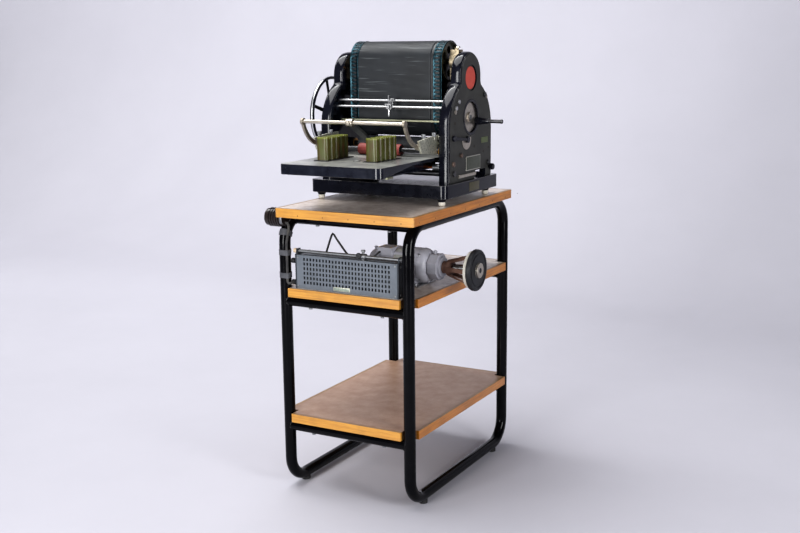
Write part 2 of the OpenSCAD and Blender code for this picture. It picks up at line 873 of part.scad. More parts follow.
// Ceramic tube on its two pins
module resistor_core() {
    end_wall = 8;
    pin_out = 3;
    placed() color("#8b7a66") {
        difference() {
            rod_x(core_d / 2, res_left + end_plate_t, res_right - end_plate_t, res_mid_y, core_z);
            rod_x(core_bore / 2, res_left + end_plate_t + end_wall, res_right - end_plate_t - end_wall,
                res_mid_y, core_z);
        }
        rod_x(core_pin_r, res_left - pin_out, res_left + end_plate_t, res_mid_y, core_z);
        rod_x(core_pin_r, res_right - end_plate_t, res_right + pin_out, res_mid_y, core_z);
    }
}

module resistor_guide_rod() {
    placed() color("#9fa3a6")
        rod_x(slide_rod_d / 2, res_left - 6, res_right + 4, slide_rod_y, slide_rod_z);
}

// Block on the guide rod, its brush over the core and its knob on top
module resistor_slider() {
    x = res_x + slider_x;
    block_w = 22;
    block_h = 14;
    brush = 6;
    core_top = core_z + core_d / 2;
    placed() color("#232427") difference() {
        union() {
            translate([x - block_w / 2, slide_rod_y - 7, res_top + rest_gap]) cube([block_w, 14, block_h]);
            translate([x - brush / 2, slide_rod_y - brush / 2, core_top + rest_gap])
                cube([brush, brush, res_top - core_top + 1]);
            translate([x - brush / 2, slide_rod_y - brush / 2, core_top + rest_gap])
                cube([brush, res_mid_y - slide_rod_y + brush, 5]);
            translate([x, slide_rod_y, res_top + block_h]) cylinder(r = 4, h = 6);
            translate([x, slide_rod_y, res_top + block_h + 5]) cylinder(r = 9, h = 9);
        }
        rod_x(slide_rod_d / 2 + run_fit, x - block_w, x + block_w, slide_rod_y, slide_rod_z);
    }
}

module resistor_terminals() {
    stem = 4;
    placed() color("#1c1d1f") for (z = terminal_places) {
        rod_x(terminal_r, res_left - stem, res_left + end_plate_t, terminal_y, z);
        rod_x(terminal_knob_r, res_left - stem - terminal_knob_len, res_left - stem, terminal_y, z);
    }
}

// Ribbed inlet with two contact pins in its mouth, saddled on the loop's bend
module mains_inlet() {
    rib_pitch = 7;
    rib_w = 4;
    mouth = 18;
    pin_r = 2.4;
    placed() color("#1d1a1a") {
        difference() {
            union() {
                rod_x(inlet_r - 2, inlet_x0, inlet_x0 + inlet_len, inlet_y, inlet_z);
                for (i = [0 : 4])
                    rod_x(inlet_r, inlet_x0 + 8 + i * rib_pitch, inlet_x0 + 8 + rib_w + i * rib_pitch,
                        inlet_y, inlet_z);
            }
            rod_x(inlet_r - 6, inlet_x0 - 1, inlet_x0 + mouth, inlet_y, inlet_z);
            loop_tube(-loop_x);
        }
        for (s = [-1, 1])
            rod_x(pin_r, inlet_x0 + 4, inlet_x0 + mouth, inlet_y + s * 7, inlet_z);
    }
}

// A strap round the loop's bend under the inlet, and tape round leg and flex
module lead_straps() {
    strap_angle = 12;
    strap_start = 150;
    strap_t = 2;
    placed() color("#57524c") {
        translate([-loop_x, bend_r - leg_y, rail_top_z - bend_r]) rotate([90, 0, 90])
            rotate([0, 0, strap_start]) rotate_extrude(angle = strap_angle) translate([bend_r, 0])
            difference() {
                circle(tube_r + strap_t);
                circle(tube_r);
            }
        for (z = tape_places) translate([0, 0, z]) linear_extrude(tape_w) tape_outline();
    }
}

// Two circles joined by their outer tangents, less the leg and the flex that they wrap
module tape_outline() {
    leg = [-loop_x, -leg_y];
    run = flex_on_leg - leg;
    along = run / norm(run);
    across = [-along[1], along[0]];
    big_r = tube_r + tape_t;
    small_r = flex_d / 2 + tape_t + 0.2;
    lean = asin((big_r - small_r) / norm(run));
    side = [for (s = [-1, 1]) sin(lean) * along + s * cos(lean) * across];
    difference() {
        union() {
            translate(leg) circle(big_r);
            translate(flex_on_leg) circle(small_r);
            polygon([leg + big_r * side[0], flex_on_leg + small_r * side[0],
                flex_on_leg + small_r * side[1], leg + big_r * side[1]]);
        }
        translate(leg) circle(tube_r);
        translate(flex_on_leg) circle(flex_d / 2 + 0.2);
    }
}

// A tube swept along a list of points, with its side vector carried from ring to ring
function unit(v) = v / norm(v);
function tangents(p) = [for (i = [0 : len(p) - 1]) unit(p[min(i + 1, len(p) - 1)] - p[max(i - 1, 0)])];
function carried(side, t, i = 0) =
    i == len(t) ? [] : let (w = unit(side - (side * t[i]) * t[i])) concat([w], carried(w, t, i + 1));

module swept_tube(points, r, sides = 10) {
    t = tangents(points);
    u = carried([0, 1, 0.2], t);
    last = len(points) - 1;
    polyhedron(
        points = [for (i = [0 : last], k = [0 : sides - 1])
            points[i] + r * (cos(360 * k / sides) * u[i] + sin(360 * k / sides) * cross(t[i], u[i]))],
        faces = concat(
            [[for (k = [0 : sides - 1]) k]],
            [[for (k = [0 : sides - 1]) last * sides + sides - 1 - k]],
            [for (i = [0 : last - 1], k = [0 : sides - 1]) let (n = (k + 1) % sides)
                [i * sides + k, (i + 1) * sides + k, (i + 1) * sides + n, i * sides + n]]
        )
    );
}

module mains_flex() {
    placed() color("#6f675c") translate([0, 0, mid_shelf_z]) swept_tube(flex_points, flex_d / 2);
}

module motor_lead() {
    placed() color("#1b1b1d") translate([0, 0, mid_shelf_z]) swept_tube(lead_points, lead_d / 2);
}

// Duplicator: base and feet

module machine_base() {
    inner_w = base_w - 2 * base_wall;
    inner_d = base_d - 2 * base_wall;
    on_table() color("#17181c") translate([0, base_y, 0]) difference() {
        translate([0, 0, base_low]) linear_extrude(base_h) rounded_square(base_w, base_d, base_corner_r);
        translate([0, 0, base_low - 1]) linear_extrude(base_h - base_wall + 1)
            rounded_square(inner_w, inner_d, base_corner_r - base_wall);
    }
}

module foot_sockets() {
    on_table() color("#1a1b1e") for (x = [-foot_x, foot_x], y = foot_y)
        translate([x, y, 0]) rotate_extrude() difference() {
            polygon([[0, foot_tip_h - 3], [10, foot_tip_h - 3], [13, foot_h], [0, foot_h]]);
            square([8.5, foot_tip_h]);
        }
    on_table() color("#1a1b1e") for (x = [-foot_x, foot_x], y = foot_y)
        translate([x, y, foot_h]) cylinder(r = 6, h = base_h - base_wall);
}

module foot_tips() {
    on_table() color("#dad7cf") for (x = [-foot_x, foot_x], y = foot_y)
        translate([x, y, 0]) rotate_extrude()
            polygon([[0, 0], [6.5, 0], [8.5, 2.5], [8.5, foot_tip_h], [0, foot_tip_h]]);
}

// Side frames: a cast arch with a dome on it, hollow on the inner side

// Half width of the outline is arch_r, drawn inwards by inset
module frame_outline(inset) {
    fillet_x = dome_r + neck_r;
    fillet_z = arch_z + sqrt(pow(arch_r + neck_r, 2) - pow(fillet_x, 2));
    touch_x = fillet_x * (arch_r - inset) / (arch_r + neck_r);
    translate([-arch_r + inset, base_top + inset])
        square([2 * (arch_r - inset), arch_z - base_top - inset]);
    translate([0, arch_z]) circle(arch_r - inset, $fn = 128);
    translate([0, dome_z]) circle(dome_r - inset, $fn = 96);
    difference() {
        translate([-touch_x, arch_z]) square([2 * touch_x, fillet_z - arch_z]);
        for (s = [-1, 1])
            translate([s * fillet_x, fillet_z]) circle(neck_r + inset, $fn = 64);
    }
    translate([-dome_r + inset, fillet_z - 1]) square([2 * (dome_r - inset), dome_z - fillet_z + 1]);
}

module frame_bosses() {
    plate_x(frame_in, frame_out - 1) {
        translate([0, main_z]) circle(main_bush_r + 6);
        translate([0, impression_z]) circle(bush_r + 4);
        translate([feed_roller_y, feed_roller_z]) circle(bush_r + 1);
        translate([0, ink_z]) circle(bush_r + 3);
        for (p = concat(tie_places, rod_places, [guide_bar])) translate(p) circle(10);
        for (p = table_shaft_places) translate(p) circle(8);
    }
}

module frame_body() {
    pocket_top = arch_z + arch_r - 28;
    difference() {
        union() {
            plate_x(frame_in, frame_out - edge_step) frame_outline(0);
            plate_x(frame_out - edge_step - eps, frame_out) frame_outline(edge_step);
        }
        intersection() {
            plate_x(frame_in - 1, frame_out - frame_web) frame_outline(frame_rim);
            translate([0, -arch_r, base_top]) cube([big, 2 * arch_r, pocket_top - base_top]);
        }
    }
    frame_bosses();
}

module frame_bores() {
    rod_x(main_bush_r, frame_in - 1, frame_in + bush_len, 0, main_z);
    rod_x(main_r + 2, frame_in, frame_out + 1, 0, main_z);
    for (p = roller_places)
        rod_x(bush_r, frame_in - 1, frame_in + bush_len, p[0], p[1]);
    for (p = rod_places) rod_x(guide_rod_r, frame_in - 1, frame_out + 1, p[0], p[1]);
    for (p = tie_places) rod_x(tie_r, frame_in - 1, frame_in + 12, p[0], p[1]);
    for (p = tie_places) rod_x(4, frame_in, frame_out + 1, p[0], p[1]);
    for (p = table_shaft_places) rod_x(table_shaft_r, frame_in - 1, frame_in + 14, p[0], p[1]);
}

module right_side_frame() {
    on_table() color("#1c1d20") difference() {
        union() {
            frame_body();
            rod_x(recess_r + recess_floor, frame_out - recess_depth - recess_floor, frame_out - 1, 0, main_z);
        }
        frame_bores();
        rod_x(recess_r, frame_out - recess_depth, frame_out + 1, 0, main_z);
        rod_x(cap_recess_r, frame_out - cap_recess, frame_out + 1, 0, cap_z);
        translate([frame_in - 1, 24, base_top - 1]) cube([frame_t + 2, 58, 20]);
        rod_x(lever_pin_r, frame_out - frame_web - 1, frame_out + 1, lever_pivot[0], lever_pivot[1]);
        rod_x(lever_pin_r, frame_out - frame_web - 1, frame_out + 1, knob_place[0], knob_place[1]);
    }
}

module left_side_frame() {
    on_table() color("#1c1d20") mirror([1, 0, 0]) difference() {
        frame_body();
        frame_bores();
    }
}

module tie_bars() {
    on_table() color("#2a2b2e") for (p = tie_places) {
        rod_x(tie_r, -frame_in - 12, frame_in + 12, p[0], p[1]);
        mirrored_x() {
            rod_x(4, frame_in + 12 - eps, frame_out, p[0], p[1]);
            rod_x(6.5, frame_out, frame_out + 4, p[0], p[1]);
        }
    }
}

module bush(r_in, r_out, y, z) {
    ring_x(r_out, r_in, frame_in, frame_in + bush_len, y, z);
    ring_x(r_out + 2, r_in, frame_in - bush_flange_t, frame_in, y, z);
}

module shaft_bushes() {
    on_table() color("#a97d45") mirrored_x() {
        bush(main_r + run_fit, main_bush_r, 0, main_z);
        for (p = roller_places) bush(small_r + run_fit, bush_r, p[0], p[1]);
    }
}

// Drums, screen and rollers

module drum(z) {
    head_t = 4;
    ring_x(drum_r, drum_r - drum_wall, drum_x0, drum_x1, 0, z);
    for (x = [drum_x0 + 6, drum_x1 - 6 - head_t])
        translate([x, 0, z]) rotate([0, 90, 0]) difference() {
            cylinder(r = drum_r - drum_wall / 2, h = head_t);
            for (a = [0 : 60 : 300])
                rotate([0, 0, a]) translate([drum_r * 0.58, 0, -1]) cylinder(r = 9, h = head_t + 2);
            translate([0, 0, -1]) cylinder(r = small_r, h = head_t + 2);
        }
}

module lower_drum() {
    on_table() color("#34373b") difference() {
        union() {
            drum(main_z);
            for (x = [drum_x0 + 6, drum_x1 - 18]) rod_x(main_r + 6, x, x + 12, 0, main_z);
        }
        rod_x(main_r, drum_x0, drum_x1, 0, main_z);
    }
}

module upper_drum() {
    on_table() color("#34373b") {
        drum(upper_z);
        for (x = [drum_x0 + 6, drum_x1 - 18]) rod_x(small_r + 5, x, x + 12, 0, upper_z);
        rod_x(small_r, -frame_in + rest_gap, frame_in - rest_gap, 0, upper_z);
    }
}

// Bearing brackets on the inner faces of the domes, with caps and tension screws
module upper_bracket(t) {
    head_r = 20;
    leg_r = 14;
    leg_len = 38;
    difference() {
        union() {
            plate_x(frame_in - t, frame_in) {
                translate([0, upper_z]) circle(head_r);
                translate([-leg_r, upper_z - leg_len]) square([2 * leg_r, leg_len]);
                translate([0, upper_z - leg_len]) circle(leg_r);
            }
            translate([frame_in - t, -12, upper_z + head_r - 4]) cube([t, 24, 12]);
            translate([frame_in - t / 2, 0, upper_z + head_r + 8]) cylinder(r = min(t / 2, 5), h = 6);
        }
        rod_x(small_r + run_fit, frame_in - t - 1, frame_in + 1, 0, upper_z);
    }
}

module upper_brackets() {
    on_table() color("#b9b4a6") {
        upper_bracket(frame_in - drum_x1 - 4);
        mirror([1, 0, 0]) upper_bracket(frame_in + drum_x0 - 4);
    }
}

module stadium(r) {
    translate([-r, main_z]) square([2 * r, drum_gap]);
    for (z = [main_z, upper_z]) translate([0, z]) circle(r, $fn = 96);
}

module screen_belt() {
    cover = 6;
    on_table() color("#3a3f46") plate_x(drum_x0 + cover, drum_x1 - cover) difference() {
        stadium(screen_r + screen_t);
        stadium(screen_r);
    }
}

module band_holes(x) {
    hole_w = 5;
    hole_h = 5;
    straight = floor(drum_gap / band_pitch);
    round_n = floor(180 * band_r * 3.14159 / 180 / band_pitch);
    for (i = [0 : straight - 1])
        translate([x, 0, main_z + (i + 0.5) * drum_gap / straight])
            cube([hole_w, 4 * drum_r, hole_h], center = true);
    for (j = [0 : round_n - 1]) {
        translate([x, 0, upper_z]) rotate([(j + 0.5) * 180 / round_n, 0, 0])
            translate([0, band_r, 0]) cube([hole_w, 6, hole_h], center = true);
        translate([x, 0, main_z]) rotate([180 + (j + 0.5) * 180 / round_n, 0, 0])
            translate([0, band_r, 0]) cube([hole_w, 6, hole_h], center = true);
    }
}

module edge_bands() {
    on_table() color("#5d8288") for (x = [drum_x0, drum_x1 - band_w]) difference() {
        plate_x(x, x + band_w) difference() {
            stadium(band_out_r);
            stadium(band_r);
        }
        band_holes(x + band_w / 2);
    }
}

// Involute gear teeth, drawn flat about the origin
function involute(base_r, t) = [
    base_r * (cos(t) + t * PI / 180 * sin(t)),
    base_r * (sin(t) - t * PI / 180 * cos(t))
];
function turned(p, a) = [p[0] * cos(a) - p[1] * sin(a), p[0] * sin(a) + p[1] * cos(a)];
function unrolled(base_r, r) = sqrt(max(pow(r / base_r, 2) - 1, 0)) * 180 / PI;

module gear_outline(teeth, backlash = 0.15) {
    pitch_r = gear_module * teeth / 2;
    base_r = pitch_r * cos(20);
    tip_r = pitch_r + 0.95 * gear_module;
    root_r = pitch_r - 1.2 * gear_module;
    steps = 3;
    low_r = max(base_r, root_r + 0.1);
    pitch_t = unrolled(base_r, pitch_r);
    pitch_at = involute(base_r, pitch_t);
    half = 90 / teeth - backlash / pitch_r * 90 / PI + atan2(pitch_at[1], pitch_at[0]);
    flank = [for (i = [0 : steps]) involute(base_r, unrolled(base_r, low_r + (tip_r - low_r) * i / steps))];
    points = [for (k = [0 : teeth - 1]) let (a = 360 / teeth * k) each concat(
        [turned([root_r, 0], a - half - 0.1)],
        [for (i = [0 : steps]) turned(flank[i], a - half)],
        [for (i = [0 : steps]) turned([flank[steps - i][0], -flank[steps - i][1]], a + half)],
        [turned([root_r, 0], a + half + 0.1)]
    )];
    polygon(points);
}

module drive_gear() {
    on_table() color("#8d8f92") difference() {
        translate([gear_x0, 0, main_z]) rotate([90, 0, 90]) linear_extrude(gear_w) gear_outline(main_teeth);
        rod_x(main_r, gear_x0 - 1, gear_x0 + gear_w + 1, 0, main_z);
        for (a = [0 : 60 : 300])
            rod_x(8, gear_x0 - 1, gear_x0 + gear_w + 1, 30 * cos(a), main_z + 30 * sin(a));
    }
}

module impression_roller() {
    on_table() color("#55585c") {
        rod_x(impression_r, drum_x0 + 2, drum_x1 - 2, 0, impression_z);
        rod_x(small_r, -frame_in - bush_len + 1, frame_in + bush_len - 1, 0, impression_z);
        difference() {
            translate([gear_x0, 0, impression_z]) rotate([90, 0, 90]) linear_extrude(gear_w)
                rotate(mesh_angle()) gear_outline(impression_teeth);
            rod_x(small_r - eps, gear_x0 - 1, gear_x0 + gear_w + 1, 0, impression_z);
        }
    }
}

// Turn that sets a gap of the small gear against the big gear's lowest tooth
function mesh_angle() =
    let (step = 360 / main_teeth, off = 270 - step * round(270 / step))
    90 + (180 + off * main_teeth) / impression_teeth;

// Inside the screen, between the two drums
module ink_roller() {
    on_table() color("#2b2c30") {
        rod_x(ink_r, drum_x0 + 4, drum_x1 - 4, 0, ink_z);
        rod_x(small_r, -frame_in - bush_len + 1, frame_in + bush_len - 1, 0, ink_z);
    }
}

module feed_roller() {
    x0 = feed_roller_x - feed_roller_len / 2;
    x1 = feed_roller_x + feed_roller_len / 2;
    on_table() color("#b04040") difference() {
        union() {
            rod_x(feed_roller_r, x0, x1, feed_roller_y, feed_roller_z);
            rod_x(small_r, -frame_in - bush_len + 1, frame_in + bush_len - 1, feed_roller_y, feed_roller_z);
        }
        for (x = [x0 - eps, x1 - 2])
            ring_x(feed_roller_r - 3, small_r, x, x + 2 + eps, feed_roller_y, feed_roller_z);
    }
}

// Main shaft and what turns with it

module main_shaft() {
    on_table() color("#b9bbbe") rod_x(main_r, -frame_out - flywheel_out - flywheel_w, main_end, 0, main_z);
}

// A flat cup in the frame's recess, with the handle's tapered socket on its rim
module crank_disc() {
    on_table() color("#16171a") {
        ring_x(crank_disc_r, hub_plate_r + 1, disc_x0, frame_out + 0.5, 0, main_z);
        ring_x(crank_disc_r, main_r, disc_x0, disc_x0 + disc_floor, 0, main_z);
        intersection() {
            crank_place() rod_x(crank_socket_r, disc_x0 + 1, socket_x0 + 1);
            rod_x(crank_disc_r, disc_x0, frame_out + 2, 0, main_z);
        }
        crank_place() {
            turned_x(socket_x0) polygon([[0, 0], [crank_socket_r, 0], [crank_socket_r, 4],
                [crank_socket_r - 3.5, crank_socket_len], [0, crank_socket_len]]);
            rod_x(grip_pin_r, socket_end - 1, socket_end + crank_grip_len - grip_cap);
        }
    }
}

module crank_place() {
    translate([0, crank_throw * cos(crank_angle), main_z - crank_throw * sin(crank_angle)]) children();
}

module hub_plate() {
    x0 = disc_x0 + disc_floor;
    on_table() color("#c4c5c7") difference() {
        union() {
            rod_x(hub_plate_r, x0, x0 + 1.5, 0, main_z);
            rod_x(main_r + 2, x0 + 1, main_end + 1, 0, main_z);
        }
        rod_x(main_r, x0 - 1, main_end, 0, main_z);
        crank_place() rod_x(crank_socket_r, x0 - 1, frame_out);
    }
}

module crank_grip() {
    x0 = socket_end + rest_gap;
    tip = 6;
    on_table() color("#c9cbce") crank_place() difference() {
        union() {
            rod_x(4.6, x0, x0 + crank_grip_len - tip);
            turned_x(x0 + crank_grip_len - tip)
                polygon([[0, 0], [5.2, 0], [5.2, tip - 2], [3, tip], [0, tip]]);
        }
        rod_x(grip_pin_r + run_fit, x0 - 1, socket_end + crank_grip_len - grip_cap + rest_gap);
    }
}

module flywheel() {
    r = flywheel_d / 2;
    x1 = -frame_out - flywheel_out;
    x0 = x1 - flywheel_w;
    mid = (x0 + x1) / 2;
    spoke_t = 5;
    spoke_w = 11;
    spoke_turn = 13.5;
    on_table() color("#1b1c1f") difference() {
        union() {
            ring_x(r, r - flywheel_rim, x0, x1, 0, main_z);
            for (x = [x0, x1 - 2.5]) ring_x(r, r - flywheel_rim - 2, x, x + 2.5, 0, main_z);
            rod_x(main_r + 7, x0 - 2, x1 + 20, 0, main_z);
            for (i = [0 : flywheel_spokes - 1])
                translate([mid, 0, main_z]) rotate([360 / flywheel_spokes * i + spoke_turn, 0, 0])
                    translate([-spoke_t / 2, -spoke_w / 2, 0]) cube([spoke_t, spoke_w, r - flywheel_rim / 2]);
        }
        rod_x(main_r, x0 - 3, x1 + 21, 0, main_z);
        ring_x(r + 1, r - 1.5, x0 + 2.5, x1 - 2.5, 0, main_z);
    }
}

// Front rods, their holder and the guide bar

module guide_rods() {
    on_table() color("#c3c5c8") {
        for (p = rod_places) {
            rod_x(guide_rod_r, -frame_out - 2, frame_out + 2, p[0], p[1]);
            mirrored_x() rod_x(5, frame_out, frame_out + 3.5, p[0], p[1]);
        }
        translate([-frame_in, guide_bar[0] - 5, guide_bar[1] - 2]) cube([2 * frame_in, 10, 4]);
    }
}

module rod_holder() {
    x = 1.5;
    p = rod_places;
    front_y = min(p[0][0], p[1][0]) - 5;
    on_table() color("#a8aaad") difference() {
        union() {
            translate([x - 5, p[0][0] - 6, p[0][1] - 6]) cube([10, 12, 12]);
            translate([x - 5, p[1][0] - 6, p[1][1] - 6]) cube([10, 20, 12]);
            translate([x - 5, p[1][0] + 2, p[1][1] - 6]) cube([10, 12, 20]);
            translate([x - 1.5, front_y - 5, p[1][1] - 22]) cube([3, 5, 50]);
            translate([x - 5, front_y - 1, p[1][1] - 5]) cube([10, 4, 10]);
            translate([x, front_y - 5, p[1][1]]) rotate([90, 0, 0]) cylinder(r = 4, h = 6);
            translate([x - 8, front_y - 9, p[1][1] + 6]) cube([16, 4, 2.5]);
        }
        for (q = p) rod_x(guide_rod_r + run_fit, x - 6, x + 6, q[0], q[1]);
    }
}

// Right face: red cap, bare plates, studs, quadrant and latch bar

module face_fittings() {
    on_table() {
        color("#b0483f") rod_x(cap_r, frame_out - cap_recess, frame_out - cap_recess + 2, 0, cap_z);
        color("#b4b6b4") plate_x(frame_out, frame_out + plate_t)
            translate([-29, head_z + 14]) square([80, 35]);
        color("#7e8a5a") plate_x(frame_out, frame_out + plate_t)
            translate([57, head_z + 75]) square([38, 14]);
        color("#c6c7c8") plate_x(frame_out, frame_out + plate_t) difference() {
            translate(lever_pivot) circle(24);
            translate(lever_pivot + [0, 20]) square([60, 30], center = true);
            translate(lever_pivot) circle(lever_pin_r);
        }
        color("#7a4f3c") {
            rod_x(5, frame_out, frame_out + 5, -59, head_z + 54.5);
            rod_x(6, frame_out, frame_out + 4, -99, head_z + 37);
        }
        color("#c0c2c4") translate([frame_out, -72, head_z + 1]) cube([4, 92, 7]);
    }
}

module impression_lever() {
    x0 = frame_out + plate_t + rest_gap;
    lever_t = 4;
    lean = -6;
    on_table() color("#17181b") {
        translate([x0, lever_pivot[0], lever_pivot[1]]) rotate([lean, 0, 0]) {
            translate([0, -lever_len, -lever_t]) cube([lever_t, lever_len, 2 * lever_t]);
            rod_x(8, 0, lever_t + 1);
            rod_x(7, 0, lever_t + 1, -lever_len);
        }
        rod_x(lever_pin_r - run_fit, frame_out - frame_web, x0 + 1, lever_pivot[0], lever_pivot[1]);
    }
}

module clamp_knob() {
    x0 = frame_out + rest_gap;
    on_table() color("#1d1e21") {
        turned_x(x0, knob_place[0], knob_place[1])
            polygon([[0, 0], [4, 0], [4, 3], [8, 4], [8, 11], [6.5, 13], [0, 13]]);
        rod_x(lever_pin_r - run_fit, frame_out - frame_web, x0 + 1, knob_place[0], knob_place[1]);
    }
}

// Feed table

module feed_outline(inset) {
    w = feed_w - 2 * inset;
    r = feed_corner_r - inset;
    translate([1.5, 0]) {
        translate([-w / 2, -feed_front + feed_corner_r])
            square([w, feed_front - feed_corner_r + feed_rear - inset]);
        translate([-w / 2 + r, -feed_front + inset]) square([w - 2 * r, feed_corner_r]);
        for (s = [-1, 1])
            translate([s * (w / 2 - r), -feed_front + feed_corner_r]) circle(r);
    }
}

// Sheet table whose skirt grows shallower towards the rear
module feed_table() {
    button = [3, -246];
    button_r = 9;
    button_h = 1.5;
    taper_start = -feed_front + feed_corner_r + 2;
    low = feed_top - feed_skirt;
    on_table() color("#26272a") {
        difference() {
            translate([0, 0, low]) linear_extrude(feed_skirt) feed_outline(0);
            translate([0, 0, low - 1]) linear_extrude(feed_skirt - feed_t + 1) feed_outline(feed_t);
            plate_x(-big / 2, big / 2) polygon([[taper_start, low], [taper_start, low - 2],
                [feed_rear + 1, low - 2], [feed_rear + 1, feed_top - feed_skirt_rear],
                [-220, feed_top - feed_skirt_rear]]);
        }
        translate([button[0], button[1], feed_top - eps]) cylinder(r = button_r, h = button_h);
    }
}

// Two angle rails under the table, joined by a cross rod
module table_rails() {
    rail_y0 = -286;
    rail_y1 = -44;
    flange_w = 14;
    on_table() color("#3b3d40") difference() {
        union() {
            mirrored_x() {
                translate([rail_x, rail_y0, rail_low])
                    cube([rail_t, rail_y1 - rail_y0, feed_top - feed_t - rail_low]);
                translate([rail_x, rail_y0, rail_low]) cube([flange_w, rail_y1 - rail_y0, rail_t]);
            }
            rod_x(4, -rail_x - 8, rail_x + 8, rail_y0 + 12, rail_low + 9);
        }
        for (p = table_shaft_places) rod_x(table_shaft_r, -big / 2, big / 2, p[0], p[1]);
    }
}

module table_shafts() {
    on_table() color("#b3683f") for (p = table_shaft_places) {
        rod_x(table_shaft_r, -frame_in - 14, frame_in + 14, p[0], p[1]);
        mirrored_x() ring_x(8, table_shaft_r - eps, frame_in - 22, frame_in, p[0], p[1]);
    }
}

// Feed bail, its cheeks and the grooved finger

module cheek_outline() {
    translate([pivot_y, pivot_z]) polygon([[-9, 15], [3, -15], [90, -25], [100, -4], [100, 22], [46, 20]]);
}

module bail_cheek() {
    cheek_screws = [-180, -128];
    difference() {
        union() {
            plate_x(cheek_x, cheek_x + cheek_t) cheek_outline();
            for (y = cheek_screws)
                translate([cheek_x + cheek_t / 2, y, pivot_z + 12]) cylinder(r = 3.2, h = 16);
            for (z = [pivot_z + 3, pivot_z + 15]) rod_x(5, cheek_x + cheek_t - eps, frame_in, -107, z);
        }
        rod_x(bush_r + 2.5, cheek_x - 1, frame_in + 1, feed_roller_y, feed_roller_z);
    }
    rod_x(pivot_r, arm_x - 3, cheek_x + eps, pivot_y, pivot_z);
    rod_x(pivot_r + 2, arm_x - 4, arm_x - rest_gap, pivot_y, pivot_z);
}

module bail_cheeks() {
    on_table() color("#b9bab4") mirrored_x() bail_cheek();
}

// A strap arm bends down and back from the rod to its pivot
module bail_arm() {
    strap = 9;
    chord_y = pivot_y - bail_y;
    chord_z = bail_z - pivot_z;
    arm_r = 78;
    half = sqrt(pow(chord_y, 2) + pow(chord_z, 2)) / 2;
    rise = sqrt(pow(arm_r, 2) - pow(half, 2));
    mid = [(bail_y + pivot_y) / 2, (bail_z + pivot_z) / 2];
    centre = mid + rise / (2 * half) * [chord_z, chord_y];
    plate_x(arm_x, arm_x + arm_t) intersection() {
        translate(centre) difference() {
            circle(arm_r + strap / 2, $fn = 96);
            circle(arm_r - strap / 2, $fn = 96);
        }
        polygon([centre, centre + 2 * ([bail_y, bail_z] - centre), centre + [-3 * arm_r, -3 * arm_r],
            centre + 2 * ([pivot_y, pivot_z] - centre)]);
    }
    rod_x(pivot_r + 4, arm_x, arm_x + arm_t, pivot_y, pivot_z);
    rod_x(bail_r + 3.5, arm_x, arm_x + arm_t, bail_y, bail_z);
}

module feed_bail() {
    eye_x = -6;
    tip = [-10, -166, head_z + 88];
    on_table() {
        color("#c9c8c4") difference() {
            union() {
                rod_x(bail_r, -arm_x - arm_t, arm_x + arm_t, bail_y, bail_z);
                mirrored_x() bail_arm();
                translate([eye_x - 8, bail_y, bail_z]) rotate([0, 90, 0]) cylinder(r = 9, h = 16);
                translate([eye_x, bail_y - 13, bail_z]) rotate([-90, 0, 0]) cylinder(r = 5, h = 8);
            }
            mirrored_x() rod_x(pivot_r + run_fit, arm_x - 1, arm_x + arm_t + 1, pivot_y, pivot_z);
        }
        color("#3a3b3e") bail_finger(eye_x, tip);
    }
}

module bail_finger(eye_x, tip) {
    run = [tip[1] - bail_y, tip[2] - bail_z];
    len = norm(run);
    translate([eye_x, bail_y, bail_z]) rotate([atan2(run[1], run[0]), 0, 0]) difference() {
        translate([0, 0, -3]) linear_extrude(6)
            polygon([[-8, 7], [-10, 24], [-11, len], [9, len], [10, 24], [8, 7]]);
        for (x = [-6, 0, 6])
            translate([x - 1, 20, 1.5]) cube([2, len, 4]);
    }
}

// Side guides: ribbed uprights on dark foot plates

module side_guide(x, front) {
    rib_pitch = guide_d / guide_ribs;
    rib_r = 0.36 * rib_pitch;
    translate([x, -front, 0]) {
        color("#7d7d33") difference() {
            translate([0, 0, guide_low]) linear_extrude(guide_h) union() {
                square([guide_w - rib_r, guide_d - 2 * rib_r], center = true);
                for (i = [0 : guide_ribs - 1])
                    translate([0, -guide_d / 2 + (i + 0.5) * rib_pitch]) {
                        for (s = [-1, 1]) translate([s * (guide_w / 2 - rib_r), 0]) circle(rib_r);
                        square([guide_w - 2 * rib_r, 2 * rib_r], center = true);
                    }
            }
            for (i = [1 : guide_ribs - 1], z = [guide_low - 1, guide_low + guide_h])
                rod_x(2.5, -guide_w, guide_w, -guide_d / 2 + i * rib_pitch, z);
        }
        color("#1d1e20") translate([-guide_w / 2 - 4, -guide_d / 2 - 2, feed_top + rest_gap])
            cube([guide_w + 8, guide_d + 12, foot_plate_t]);
    }
}

module left_side_guide() {
    on_table() side_guide(-left_guide_x, left_guide_front);
}

module right_side_guide() {
    on_table() side_guide(right_guide_x, left_guide_front - right_guide_back);
}

loop_tubes();
loop_bends();
cross_tubes();
floor_pads();
boards();
edging_strips();
linoleum_sheets();
shelf_screws();
motor_bedplate();
motor_body();
motor_caps();
motor_terminal_box();
motor_shaft();
drive_spider();
drive_pulley();
pulley_ring();
resistor_housing();
resistor_grille();
resistor_end_plates();
resistor_core();
resistor_guide_rod();
resistor_slider();
resistor_terminals();
mains_inlet();
lead_straps();
mains_flex();
motor_lead();
machine_base();
foot_sockets();
foot_tips();
left_side_frame();
right_side_frame();
tie_bars();
shaft_bushes();
main_shaft();
lower_drum();
upper_drum();
upper_brackets();
screen_belt();
edge_bands();
drive_gear();
impression_roller();
ink_roller();
feed_roller();
crank_disc();
hub_plate();
crank_grip();
flywheel();
guide_rods();
rod_holder();
face_fittings();
impression_lever();
clamp_knob();
feed_table();
table_rails();
table_shafts();
bail_cheeks();
feed_bail();
left_side_guide();
right_side_guide();
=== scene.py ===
"""Looks of a rotary duplicator on its tube stand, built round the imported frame."""

from __future__ import annotations

